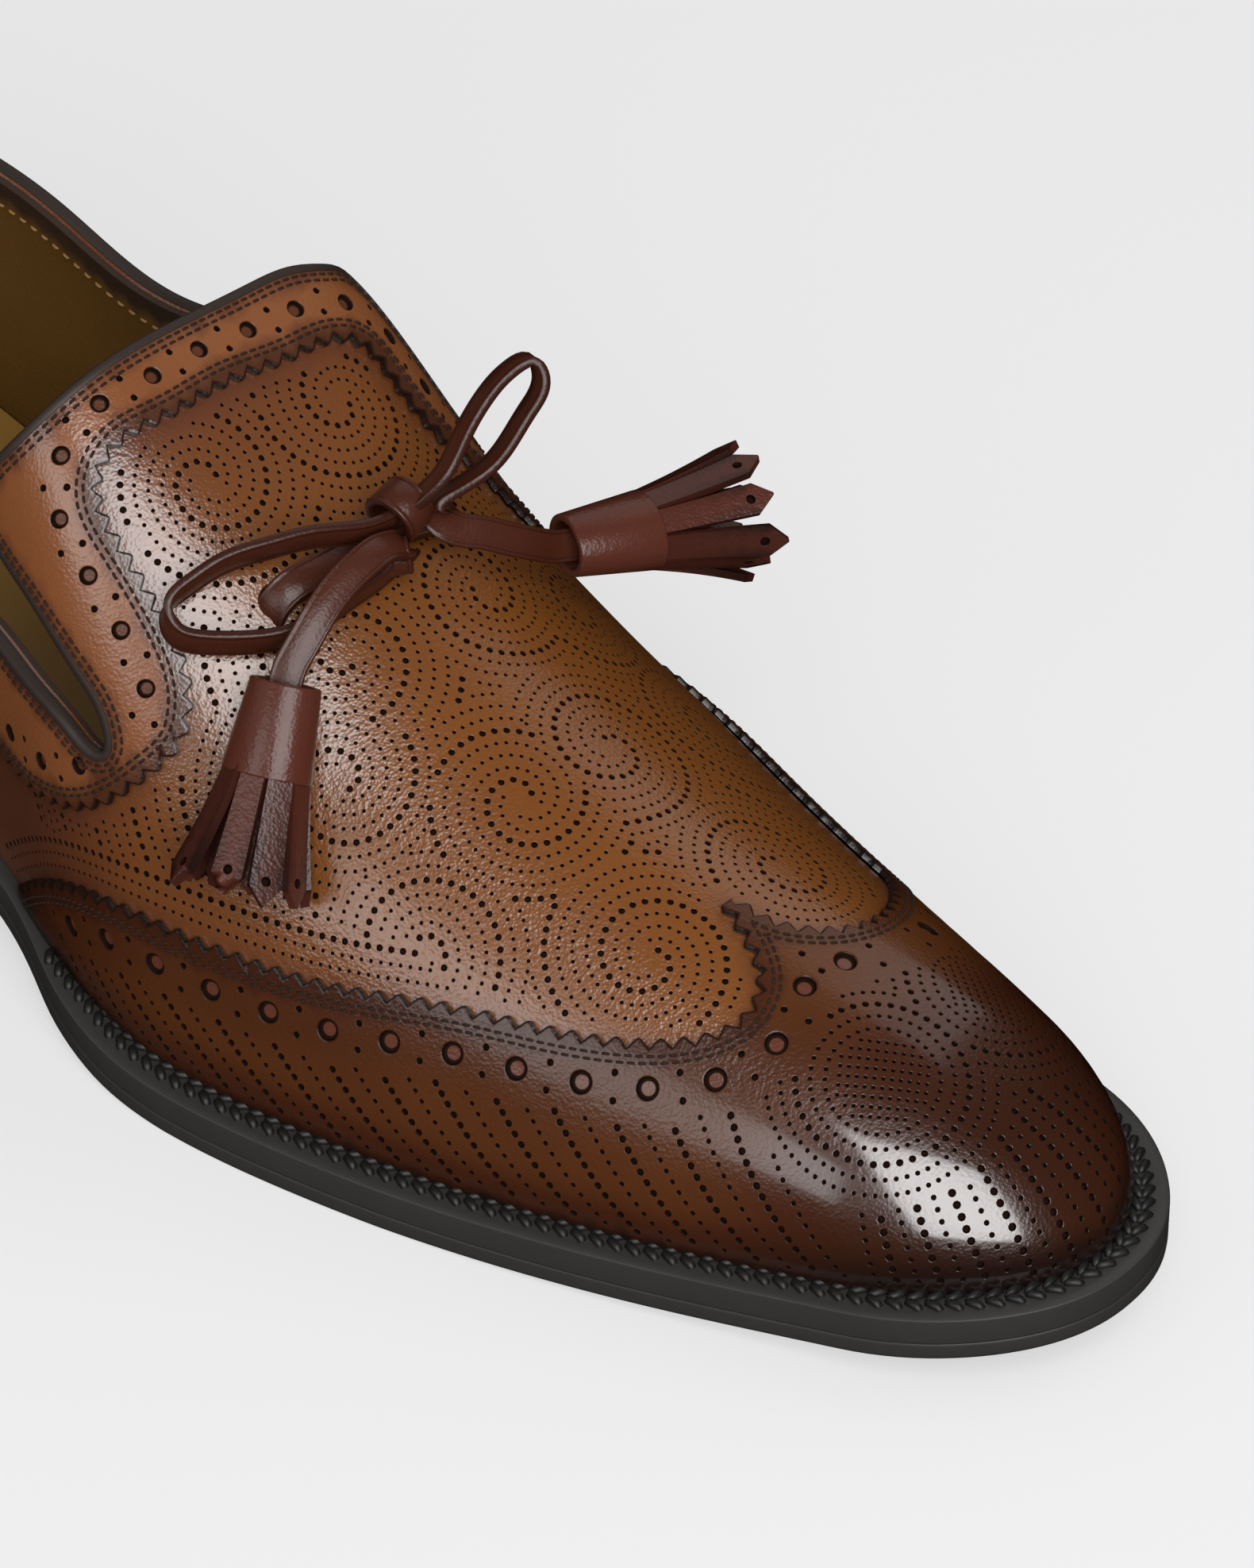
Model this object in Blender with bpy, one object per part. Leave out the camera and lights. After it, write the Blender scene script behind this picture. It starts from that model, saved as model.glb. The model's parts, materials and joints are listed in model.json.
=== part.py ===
"""Tassel loafer for a right foot: welted sole, hollow upper, overlays, lace bow and two tassels.

The toe points to -Y, the outer (lateral) side of the foot is -X and the sole stands on z = 0.
A station is a distance along the foot from the back of the heel. The upper is the shape of its
last: a row of arched sections, each with a lateral and a medial half that meet on a ridge.
Points on the upper are also given by a flat chart: the length run along the side of the foot,
and the drop from the ridge measured round the section, lateral drops being negative.
"""
from typing import NamedTuple

import bmesh
import bpy
import numpy as np
from mathutils import Vector
from mathutils.geometry import delaunay_2d_cdt

for old_object in list(bpy.data.objects):
    bpy.data.objects.remove(old_object, do_unlink=True)

MM = 0.001

# Driving dimensions
LENGTH = 306 * MM
OUTSOLE_THICKNESS = 2.7 * MM
WELT_THICKNESS = 4.0 * MM
INSOLE_THICKNESS = 2.2 * MM
INSOLE_CLEARANCE = 1.2 * MM
WALL = 2.0 * MM
OVERLAY_THICKNESS = 1.0 * MM
GAP = 0.3 * MM
HEEL_LENGTH = 72 * MM
HEEL_BREAST_SLOPE = 3 * MM
HEEL_TAPER = 0.95
HEEL_UNDERCUT = 2 * MM

# Rounding of the plan at toe and heel: length of the round stretch and how square it is
TOE_ROUND = 26 * MM
TOE_SQUARENESS = 2.2
HEEL_ROUND = 36 * MM
HEEL_SQUARENESS = 2.4
TOE_REVEAL = 6.0 * MM
HEEL_REVEAL = 1.6 * MM
TOE_BOX_LENGTH = 40 * MM
TOE_BOX_SQUARENESS = 2.3
BULGE_SKEW = 0.7

# Back of the heel: how far it swells out low down, and leans in at the top
BACK_SWELL = 1.2 * MM
BACK_LEAN = 7.0 * MM
BACK_HEIGHT = 60 * MM
BACK_FADE = 60 * MM

# Mesh of the upper
UPPER_SPACING = 7.0 * MM
EDGE_SPACING = 4.6 * MM
COLLAR_BACK_ROWS = 6
SOLE_SPACING = 9.0 * MM
CHART_SPACING = 2.0 * MM
ROUND_STEPS = 11
PATH_STEPS = 40
PLAN_STEPS = 613
CLEAR_SHARE = 0.6
MERGE = 0.001 * MM
SHARP_ANGLE = np.radians(35)
ANGLES = np.linspace(-np.pi / 2, np.pi / 2, 161)


class Look(NamedTuple):
    """Look of a leather: linear colour and roughness."""

    colour: tuple
    roughness: float


SOLE_LOOK = Look((0.012, 0.011, 0.011), 0.55)
WELT_LOOK = Look((0.008, 0.007, 0.007), 0.5)
INSOLE_LOOK = Look((0.27, 0.17, 0.07), 0.6)
UPPER_LOOK = Look((0.20, 0.080, 0.024), 0.38)
WING_LOOK = Look((0.105, 0.036, 0.014), 0.35)
BAND_LOOK = Look((0.17, 0.062, 0.024), 0.36)
LACE_LOOK = Look((0.085, 0.026, 0.013), 0.35)


class PlanRow(NamedTuple):
    """Half widths of the sole at a station, and how far the sole stands out beyond the upper."""

    station: float
    lateral: float
    medial: float
    reveal: float


class KeelRow(NamedTuple):
    """Height of the outsole's underside at a station."""

    station: float
    height: float


class SectionRow(NamedTuple):
    """Arched section of the last: ridge place, squareness of both halves and swelling of the walls."""

    station: float
    ridge_height: float
    ridge_side: float
    lateral_square: float
    medial_square: float
    crown_square: float
    lateral_swell: float
    medial_swell: float


class CollarRow(NamedTuple):
    """Heights of the collar's edge on both sides of the heel, and of the lower edge of its band."""

    station: float
    lateral: float
    medial: float
    lateral_band: float
    medial_band: float


class EdgeRow(NamedTuple):
    """A point of an edge on the upper: drop from the ridge and station on the lateral and the medial side."""

    lateral_drop: float
    lateral: float
    medial_drop: float
    medial: float


class RoutePoint(NamedTuple):
    """A point of the lace in millimetres: side of the foot, station and height."""

    side: float
    station: float
    height: float


# Tables in millimetres
PLAN = (
    PlanRow(0, 29.0, 26.0, 1.6),
    PlanRow(20, 34.0, 30.0, 1.6),
    PlanRow(45, 36.0, 31.0, 1.6),
    PlanRow(70, 35.0, 29.6, 1.7),
    PlanRow(92, 33.3, 28.4, 1.8),
    PlanRow(112, 33.2, 28.6, 2.0),
    PlanRow(127, 34.8, 30.6, 2.2),
    PlanRow(141, 38.0, 34.6, 2.4),
    PlanRow(149, 41.6, 38.2, 3.0),
    PlanRow(156, 45.4, 41.6, 4.4),
    PlanRow(162, 47.9, 44.6, 5.2),
    PlanRow(169, 49.9, 47.8, 5.6),
    PlanRow(181, 51.0, 51.0, 5.8),
    PlanRow(202, 49.2, 50.6, 5.8),
    PlanRow(226, 44.5, 45.0, 5.8),
    PlanRow(252, 37.4, 36.6, 5.8),
    PlanRow(280, 28.7, 28.2, 5.8),
    PlanRow(306, 21.3, 21.6, 5.8),
)
KEEL = (
    KeelRow(0, 23.5),
    KeelRow(40, 23.0),
    KeelRow(68, 21.5),
    KeelRow(92, 17.5),
    KeelRow(115, 11.6),
    KeelRow(135, 6.6),
    KeelRow(155, 2.6),
    KeelRow(172, 0.5),
    KeelRow(186, -0.1),
    KeelRow(210, -0.1),
    KeelRow(230, 0.35),
    KeelRow(260, 2.0),
    KeelRow(285, 4.5),
    KeelRow(306, 7.0),
)
SECTIONS = (
    SectionRow(0, 112.0, -2.5, 2.3, 2.3, 2.2, 2.5, 2.5),
    SectionRow(50, 110.0, -2.5, 2.3, 2.3, 2.2, 2.5, 2.5),
    SectionRow(90, 105.0, -1.0, 2.7, 2.7, 2.5, 2.5, 4.5),
    SectionRow(118, 99.0, 0.0, 3.4, 3.6, 2.9, 1.5, 3.0),
    SectionRow(141, 89.5, 0.5, 4.0, 7.6, 3.2, 0.5, 1.5),
    SectionRow(151, 83.49, 0.52, 3.57, 5.8, 3.07, 0.43, 1.18),
    SectionRow(160, 77.5, 0.5, 3.0, 3.6, 2.8, 0.5, 1.0),
    SectionRow(170, 70.78, 0.51, 2.51, 2.2, 2.42, 0.57, 0.79),
    SectionRow(181, 64.0, 0.5, 2.2, 1.88, 2.05, 0.6, 0.4),
    SectionRow(192, 58.39, 0.38, 2.07, 1.72, 1.88, 0.58, 0.3),
    SectionRow(205, 53.0, 0.0, 2.05, 1.6, 1.85, 0.6, 0.3),
    SectionRow(222, 47.1, -0.87, 2.07, 1.55, 1.83, 0.8, 0.4),
    SectionRow(239, 42.0, -1.5, 2.1, 1.68, 1.85, 1.0, 0.9),
    SectionRow(262, 36.0, -1.0, 2.2, 2.15, 2.0, 1.0, 1.0),
    SectionRow(285, 31.5, -0.0, 2.4, 2.5, 2.1, 1.0, 1.0),
    SectionRow(300, 29.0, 0.0, 2.5, 2.6, 2.1, 1.0, 1.0),
)
COLLAR = (
    CollarRow(0, 80.0, 80.0, 64.0, 64.0),
    CollarRow(25, 74.5, 75.5, 58.5, 59.5),
    CollarRow(60, 67.0, 70.0, 51.0, 54.0),
    CollarRow(95, 61.5, 66.0, 45.0, 50.0),
    CollarRow(120, 57.5, 62.0, 39.5, 45.0),
)
TONGUE_EDGE = (
    EdgeRow(0.0, 143.0, 0.0, 143.0),
    EdgeRow(13.0, 141.8, 12.0, 144.2),
    EdgeRow(23.0, 140.0, 20.0, 145.2),
    EdgeRow(31.0, 136.8, 25.4, 146.3),
    EdgeRow(37.0, 134.4, 29.2, 146.8),
    EdgeRow(41.5, 134.8, 31.4, 148.8),
    EdgeRow(43.6, 138.5, 33.2, 151.9),
    EdgeRow(44.4, 146.0, 34.7, 154.6),
    EdgeRow(45.2, 157.0, 36.4, 158.4),
    EdgeRow(46.6, 162.4, 38.2, 162.4),
    EdgeRow(48.8, 163.6, 40.6, 163.9),
    EdgeRow(51.0, 162.0, 43.0, 162.3),
    EdgeRow(52.6, 157.0, 45.2, 157.4),
    EdgeRow(55.0, 149.0, 48.6, 149.4),
    EdgeRow(56.6, 139.5, 51.6, 139.5),
)
BAND_EDGE = (
    EdgeRow(0.0, 152.0, 0.0, 152.0),
    EdgeRow(12.0, 150.8, 11.0, 153.8),
    EdgeRow(22.0, 149.4, 19.4, 154.9),
    EdgeRow(25.4, 150.8, 22.2, 156.4),
    EdgeRow(27.4, 156.0, 23.4, 160.4),
    EdgeRow(29.2, 165.0, 24.6, 164.6),
    EdgeRow(32.0, 170.4, 27.2, 167.8),
    EdgeRow(37.0, 172.4, 32.6, 170.6),
    EdgeRow(44.0, 170.6, 38.0, 173.8),
    EdgeRow(53.0, 166.2, 44.6, 175.6),
    EdgeRow(64.4, 157.7, 54.0, 171.6),
    EdgeRow(72.0, 148.0, 65.0, 156.0),
    EdgeRow(74.6, 139.0, 70.8, 139.5),
)
WING_EDGE = (
    EdgeRow(0.0, 239.3, 0.0, 239.3),
    EdgeRow(1.2, 242.0, 1.0, 242.4),
    EdgeRow(3.2, 247.0, 2.0, 246.6),
    EdgeRow(6.3, 251.2, 5.1, 250.6),
    EdgeRow(11.4, 252.5, 10.4, 253.3),
    EdgeRow(17.7, 248.8, 17.8, 252.8),
    EdgeRow(23.6, 241.1, 25.8, 249.1),
    EdgeRow(28.6, 232.4, 32.6, 244.8),
    EdgeRow(33.4, 223.2, 38.2, 239.6),
    EdgeRow(38.8, 213.9, 41.4, 231.5),
    EdgeRow(44.7, 204.6, 44.2, 222.0),
    EdgeRow(50.3, 194.7, 47.2, 211.5),
    EdgeRow(56.1, 184.3, 53.0, 198.0),
    EdgeRow(63.6, 173.0, 63.0, 181.0),
    EdgeRow(76.0, 159.6, 76.0, 163.0),
)
CENTRE_DROP = -2.0 * MM
WING_TAIL_STATION = 143 * MM

# Lace, knot and tassels
LACE_WIDTH = 4.6 * MM
LACE_THICKNESS = 1.6 * MM
LACE_SPACING = 4.0 * MM
KNOT_RADII = (5.0 * MM, 4.2 * MM, 3.6 * MM)
KNOT_SEGMENTS = 14
KNOT_RINGS = 8
CAP_LENGTH = 12.5 * MM
CAP_TOP_RADIUS = 4.9 * MM
CAP_END_RADIUS = 6.3 * MM
CAP_FLATNESS = 0.82
CAP_SIDES = 20
TASSEL_LENGTH = 29 * MM
FRINGE_STRIPS = 8
FRINGE_THICKNESS = 1.1 * MM
FRINGE_ROOT_WIDTH = 2.7 * MM
FRINGE_TIP_WIDTH = 4.2 * MM
FRINGE_POINT = 2.4 * MM
FRINGE_OVERLAP = 2.5 * MM
FRINGE_ROOT_SHARE = 0.72
FRINGE_SPREAD = 1.35
FRINGE_FLATNESS = 0.55


KNOT = RoutePoint(2.1, 179.6, 73.2)
LACE_BAR = (
    RoutePoint(-16.3, 174.3, 67.2),
    RoutePoint(-10.6, 175.6, 68.0),
    RoutePoint(-3.8, 176.6, 68.2),
    RoutePoint(4.0, 177.5, 67.7),
    RoutePoint(9.4, 178.4, 66.7),
    RoutePoint(13.5, 178.5, 65.9),
)
LOOP_LATERAL = (
    RoutePoint(-3.8, 179.0, 73.0),
    RoutePoint(-10.4, 175.7, 74.3),
    RoutePoint(-16.4, 172.6, 74.4),
    RoutePoint(-21.9, 169.7, 73.8),
    RoutePoint(-26.6, 167.8, 72.0),
    RoutePoint(-30.2, 167.0, 69.4),
    RoutePoint(-31.0, 169.0, 67.2),
    RoutePoint(-28.9, 172.4, 66.1),
    RoutePoint(-25.1, 176.0, 65.6),
    RoutePoint(-21.2, 178.9, 65.5),
    RoutePoint(-15.2, 181.0, 66.2),
    RoutePoint(-8.6, 182.2, 67.4),
    RoutePoint(-4.4, 182.6, 68.0),
)
LOOP_MEDIAL = (
    RoutePoint(6.6, 183.2, 78.6),
    RoutePoint(11.0, 182.8, 82.1),
    RoutePoint(16.1, 182.7, 85.9),
    RoutePoint(20.1, 183.5, 88.2),
    RoutePoint(22.7, 185.0, 88.8),
    RoutePoint(22.6, 186.6, 87.0),
    RoutePoint(19.4, 187.0, 83.4),
    RoutePoint(15.5, 186.6, 79.8),
    RoutePoint(11.4, 185.4, 76.8),
)
LACE_END_LATERAL = (
    RoutePoint(-4.9, 183.0, 72.8),
    RoutePoint(-8.5, 183.1, 73.2),
    RoutePoint(-14.1, 183.0, 72.0),
    RoutePoint(-19.2, 183.4, 69.6),
    RoutePoint(-22.4, 183.6, 67.3),
    RoutePoint(-25.0, 183.7, 65.0),
)
LACE_END_MEDIAL = (
    RoutePoint(6.2, 185.4, 70.6),
    RoutePoint(9.0, 187.2, 69.2),
    RoutePoint(12.2, 189.0, 67.2),
    RoutePoint(16.6, 190.3, 64.2),
    RoutePoint(20.4, 190.6, 61.6),
)
TASSEL_LATERAL = (RoutePoint(-26.0, 184.0, 63.6), RoutePoint(-41.8, 189.6, 41.4))
TASSEL_MEDIAL = (RoutePoint(22.0, 191.2, 61.0), RoutePoint(50.4, 202.9, 56.7))

# The way each strip's width lies, and the way each tassel's flat side looks
BAR_ACROSS = (0.0, 0.89, 0.46)
LOOP_LATERAL_ACROSS = (-0.1, -0.35, 0.93)
LOOP_MEDIAL_ACROSS = (-0.44, -0.81, 0.39)
LACE_END_LATERAL_ACROSS = (-0.21, 0.81, 0.43)
LACE_END_MEDIAL_ACROSS = (0.57, 0.31, 0.76)
TASSEL_LATERAL_UP = (-0.75, -0.2, 0.62)
TASSEL_MEDIAL_UP = (0.0, 0.0, 1.0)


def spline(places, values):
    """Natural cubic curve through values at rising places.

    Args:
        places: Rising list of places.
        values: The value at each place.
    Returns:
        A function that gives the curve's value at any place or array of places.
    """
    x = np.asarray(places, float)
    y = np.asarray(values, float)
    step = np.diff(x)
    rise = np.diff(y) / step
    count = len(x)
    matrix = np.eye(count)
    right = np.zeros(count)
    for i in range(1, count - 1):
        matrix[i, i - 1:i + 2] = step[i - 1], 2 * (step[i - 1] + step[i]), step[i]
        right[i] = 6 * (rise[i] - rise[i - 1])
    bend = np.linalg.solve(matrix, right)

    def value(place):
        i = np.clip(np.searchsorted(x, place) - 1, 0, count - 2)
        after = place - x[i]
        before = x[i + 1] - place
        cubic = (bend[i] * before ** 3 + bend[i + 1] * after ** 3) / (6 * step[i])
        start = (y[i] / step[i] - bend[i] * step[i] / 6) * before
        end = (y[i + 1] / step[i] - bend[i + 1] * step[i] / 6) * after
        return cubic + start + end

    return value


def column(rows, field, unit=MM):
    """Curve of one column of a table along the foot, in metres unless another unit is given."""
    places = [row.station * MM for row in rows]
    return spline(places, [getattr(row, field) * unit for row in rows])


def rounding(share, squareness):
    """Factor that rounds an end off: 0 at its tip, 1 from the end of the round stretch on."""
    left = 1 - np.clip(share, 0, 1)
    return (1 - left ** squareness) ** (1 / squareness)


lateral_half = column(PLAN, "lateral")
medial_half = column(PLAN, "medial")
welt_reveal = column(PLAN, "reveal")
keel_curve = column(KEEL, "height")
ridge_height = column(SECTIONS, "ridge_height")
ridge_side = column(SECTIONS, "ridge_side")
lateral_square = column(SECTIONS, "lateral_square", 1)
medial_square = column(SECTIONS, "medial_square", 1)
crown_square = column(SECTIONS, "crown_square", 1)
lateral_swell = column(SECTIONS, "lateral_swell")
medial_swell = column(SECTIONS, "medial_swell")

FEATHER_START = HEEL_REVEAL
FEATHER_END = LENGTH - TOE_REVEAL
PLAN_SAMPLES = np.linspace(0, LENGTH, PLAN_STEPS)
CENTRE_SIDE = (medial_half(PLAN_SAMPLES).max() - lateral_half(PLAN_SAMPLES).max()) / 2


def keel(station):
    """Underside of the outsole: flat on the floor under the ball, sprung at toe and waist."""
    return np.maximum(keel_curve(station), 0)


def end_rounding(station, first, last):
    """How much of the full width a plate from first to last has at a station, rounded at both ends."""
    tip = rounding((last - station) / TOE_ROUND, TOE_SQUARENESS)
    back = rounding((station - first) / HEEL_ROUND, HEEL_SQUARENESS)
    return tip * back


def plate_edges(station, first, last, inset):
    """Lateral and medial side of a plate of the sole, drawn in from the plan by an inset."""
    share = end_rounding(station, first, last)
    return -(lateral_half(station) - inset) * share, (medial_half(station) - inset) * share


def feather_height(station):
    """Height of the upper's lower edge, just clear of the welt."""
    return keel(station) + OUTSOLE_THICKNESS + WELT_THICKNESS + 2 * GAP


def place(side, station, height):
    """World point of a side, station and height."""
    side, station, height = np.broadcast_arrays(side, station, height)
    return np.stack([side - CENTRE_SIDE, LENGTH / 2 - station, height], axis=-1)


def section(station):
    """Arched section of the last at one station, from the lateral feather over the ridge.

    Args:
        station: Distance from the back of the heel.
    Returns:
        The section's points, and each one's distance round the section from the ridge.
    """
    share = end_rounding(station, FEATHER_START, FEATHER_END)
    reveal = welt_reveal(station)
    ridge = ridge_side(station) * share
    outer = -(lateral_half(station) - reveal) * share
    inner = (medial_half(station) - reveal) * share
    base = feather_height(station)
    rise = rounding((FEATHER_END - station) / TOE_BOX_LENGTH, TOE_BOX_SQUARENESS)
    full = (ridge_height(station) - base) * rise

    is_lateral = ANGLES < 0
    square = np.where(is_lateral, lateral_square(station), medial_square(station))
    swell = np.where(is_lateral, -lateral_swell(station), medial_swell(station)) * share
    reach = np.where(is_lateral, outer - ridge, inner - ridge)
    climb = np.abs(np.cos(ANGLES)) ** (2 / crown_square(station))
    side = ridge + reach * np.abs(np.sin(ANGLES)) ** (2 / square)
    side = side + swell * np.sin(np.pi * climb ** BULGE_SKEW)
    above = full * climb
    level = above / BACK_HEIGHT
    fade = np.clip(1 - station / BACK_FADE, 0, 1) ** 2
    back = (BACK_SWELL * np.sin(np.pi * np.clip(2 * level, 0, 1)) - BACK_LEAN * level ** 2) * fade
    points = place(side, station - back, base + above)
    run = np.concatenate([[0], np.cumsum(np.linalg.norm(np.diff(points, axis=0), axis=1))])
    return points, run - run[len(ANGLES) // 2]


def end_clustered(start, end, round_start, round_end, spacing):
    """Stations from start to end, closer together on the two round ends."""
    steps = np.linspace(0, 1, ROUND_STEPS)
    first = start + round_start * steps ** 2
    last = end - round_end * steps[::-1] ** 2
    count = max(2, int(round((last[0] - first[-1]) / spacing)))
    middle = np.linspace(first[-1], last[0], count + 1)[1:-1]
    return np.concatenate([first, middle, last])


# The chart: stations, the length run along the side wall to each, and the drop to both feathers
CHART_SIDE = 0.75
CHART_STATIONS = end_clustered(FEATHER_START, FEATHER_END, HEEL_ROUND, TOE_ROUND, CHART_SPACING)
chart_walls = []
chart_drops = []
for chart_station in CHART_STATIONS:
    chart_points, chart_arc = section(chart_station)
    wall_drop = chart_arc[0] * CHART_SIDE
    chart_walls.append([np.interp(wall_drop, chart_arc, chart_points[:, k]) for k in range(3)])
    chart_drops.append((chart_arc[0], chart_arc[-1]))
chart_walls = np.array(chart_walls)
chart_drops = np.array(chart_drops)
CHART_RUN = np.concatenate([[0], np.cumsum(np.linalg.norm(np.diff(chart_walls, axis=0), axis=1))])


def run_at(station):
    """Chart length run at a station."""
    return np.interp(station, CHART_STATIONS, CHART_RUN)


def feather_drops(run):
    """Drops of the lateral and the medial feather at a chart length."""
    return tuple(np.interp(run, CHART_RUN, chart_drops[:, k]) for k in range(2))


def on_last(run, drop):
    """Point of the upper's outer face at a chart place."""
    points, arc = section(float(np.interp(run, CHART_RUN, CHART_STATIONS)))
    return np.array([np.interp(drop, arc, points[:, k]) for k in range(3)])


def normal_at(run, drop, step=0.5 * MM):
    """Outward unit normal of the upper's outer face at a chart place."""
    along = on_last(min(run + step, CHART_RUN[-1]), drop) - on_last(max(run - step, 0), drop)
    across = on_last(run, drop + step) - on_last(run, drop - step)
    normal = np.cross(across, along)
    size = np.linalg.norm(normal)
    if size < 1e-12:
        return np.array([0.0, -1.0, 0.0])
    return -normal / size


def drop_at_height(station, height, side):
    """Drop from the ridge at which a section's wall reaches a height, on side -1 or +1."""
    points, arc = section(station)
    half = arc * side >= 0
    order = np.argsort(points[half, 2])
    return np.interp(height, points[half, 2][order], arc[half][order])


def smooth_path(points, spacing):
    """Even points along the natural cubic curve through a list of points."""
    points = np.asarray(points, float)
    steps = np.linalg.norm(np.diff(points, axis=0), axis=1)
    run = np.concatenate([[0], np.cumsum(steps)])
    curves = [spline(run, points[:, k]) for k in range(points.shape[1])]
    fine = np.linspace(0, run[-1], PATH_STEPS * len(points))
    path = np.stack([curve(fine) for curve in curves], axis=-1)
    length = np.concatenate([[0], np.cumsum(np.linalg.norm(np.diff(path, axis=0), axis=1))])
    count = max(2, int(round(length[-1] / spacing)) + 1)
    even = np.linspace(0, length[-1], count)
    return np.stack([np.interp(even, length, path[:, k]) for k in range(points.shape[1])], axis=-1)


def chart_row(row, side):
    """Chart place of an edge's row on side -1 or +1."""
    if side < 0:
        return run_at(row.lateral * MM), CENTRE_DROP - row.lateral_drop * MM
    return run_at(row.medial * MM), CENTRE_DROP + row.medial_drop * MM


def both_sides(rows):
    """Chart places of an edge from its lateral end over its middle row to its medial end."""
    lateral = [chart_row(row, -1) for row in reversed(rows)]
    return lateral + [chart_row(row, 1) for row in rows[1:]]


def collar_edge(side, field):
    """Chart places of a collar edge on side -1 or +1, closer together round the back of the heel."""
    stations = [max(row.station * MM, FEATHER_START) for row in COLLAR]
    runs = [float(run_at(station)) for station in stations]
    heights = [getattr(row, field) * MM for row in COLLAR]
    level = spline([-run for run in runs[:0:-1]] + runs, heights[:0:-1] + heights)
    back = stations[0] + (stations[1] - stations[0]) * (np.arange(COLLAR_BACK_ROWS) / COLLAR_BACK_ROWS) ** 2
    places = list(back) + stations[1:]
    return [(run_at(place), drop_at_height(place, level(run_at(place)), side)) for place in places]


def throat_path(rows, lateral_field, medial_field):
    """Edge from the back of the heel along the lateral collar, over the tongue and back again."""
    lateral = collar_edge(-1, lateral_field)
    medial = collar_edge(1, medial_field)[::-1]
    return smooth_path(lateral + both_sides(rows) + medial, EDGE_SPACING)


def wing_path():
    """Edge of the wing overlay, from the lateral feather over the peak to the medial feather."""
    tail = run_at(WING_TAIL_STATION)
    lateral_tail, medial_tail = feather_drops(tail)
    return smooth_path([(tail, lateral_tail)] + both_sides(WING_EDGE) + [(tail, medial_tail)], EDGE_SPACING)


def feather_path():
    """Lower edge of the upper from the back of the heel along the lateral side round to the back."""
    runs = run_at(end_clustered(FEATHER_START, FEATHER_END, HEEL_ROUND, TOE_ROUND, EDGE_SPACING))
    lateral = [(run, feather_drops(run)[0]) for run in runs]
    medial = [(run, feather_drops(run)[1]) for run in runs[-2::-1]]
    return np.array(lateral + medial)


def inside(point, outline):
    """Whether a chart place lies inside a closed outline."""
    start = outline
    end = np.roll(outline, -1, axis=0)
    spans = (start[:, 1] > point[1]) != (end[:, 1] > point[1])
    rise = np.where(spans, end[:, 1] - start[:, 1], 1)
    cross = start[:, 0] + (point[1] - start[:, 1]) / rise * (end[:, 0] - start[:, 0])
    return np.count_nonzero(spans & (cross > point[0])) % 2 == 1


class Lattice(NamedTuple):
    """Triangles of the upper's outer face: points, outward normals and faces by region."""

    points: np.ndarray
    normals: np.ndarray
    upper: list
    wing: list
    band: list


def build_lattice():
    """Lay triangles over the upper's chart, with the rim, band and wing edges as fixed lines.

    Returns:
        The lattice, with the two sides of the back seam joined.
    """
    rim = throat_path(TONGUE_EDGE, "lateral", "medial")
    band = throat_path(BAND_EDGE, "lateral_band", "medial_band")
    wing = wing_path()
    feather = feather_path()
    seam_drops = [feather[0][1], band[0][1], rim[0][1]]
    seam_drops.insert(1, (seam_drops[0] + seam_drops[1]) / 2)
    lateral_seam = np.array([(0.0, drop) for drop in seam_drops])
    medial_seam = lateral_seam * (1, -1)
    domain = np.concatenate([feather[:-1], medial_seam[:-1], rim[::-1][:-1], lateral_seam[:0:-1]])
    lines = [np.concatenate([domain, domain[:1]]), band, wing]

    places = []
    edges = []
    for line in lines:
        first = len(places)
        places.extend(line)
        edges.extend((first + i, first + i + 1) for i in range(len(line) - 1))
    fixed = np.array(places)
    row_step = UPPER_SPACING * np.sqrt(3) / 2
    runs = np.arange(row_step, CHART_RUN[-1], row_step)
    for row, run in enumerate(runs):
        low, high = feather_drops(run)
        offset = UPPER_SPACING / 2 if row % 2 else 0
        for drop in np.arange(low + offset, high, UPPER_SPACING):
            clear = np.linalg.norm(fixed - (run, drop), axis=1).min() > CLEAR_SHARE * UPPER_SPACING
            if clear and inside((run, drop), domain):
                places.append((run, drop))

    result = delaunay_2d_cdt([Vector(p) for p in places], edges, [], 1, MERGE)
    chart = np.array([tuple(p) for p in result[0]])
    corners = [list(face) for face in result[2]]
    centres = [chart[face].mean(axis=0) for face in corners]
    points = np.array([on_last(run, drop) for run, drop in chart])
    normals = np.array([normal_at(run, drop) for run, drop in chart])
    normals[:, 2] = np.maximum(normals[:, 2], 0)
    normals /= np.linalg.norm(normals, axis=1, keepdims=True)

    seam = np.flatnonzero(chart[:, 0] < MERGE)
    joined = list(range(len(chart)))
    for i in seam[chart[seam, 1] > 0]:
        twin = seam[np.argmin(np.abs(chart[seam, 1] + chart[i, 1]))]
        joined[i] = int(twin)
        blend = normals[i] + normals[twin]
        normals[twin] = blend / np.linalg.norm(blend)

    beyond_toe = CHART_RUN[-1] + UPPER_SPACING
    front = np.array([(beyond_toe, wing[-1][1]), (beyond_toe, wing[0][1])])
    wing_area = np.concatenate([wing, front])
    upper = []
    wing_faces = []
    band_faces = []
    for face, centre in zip(corners, centres):
        if not inside(centre, domain):
            continue
        face = [joined[i] for i in face]
        upper.append(face)
        if inside(centre, wing_area):
            wing_faces.append(face)
        elif inside(centre, band):
            band_faces.append(face)
    return Lattice(points, normals, upper, wing_faces, band_faces)


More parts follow.
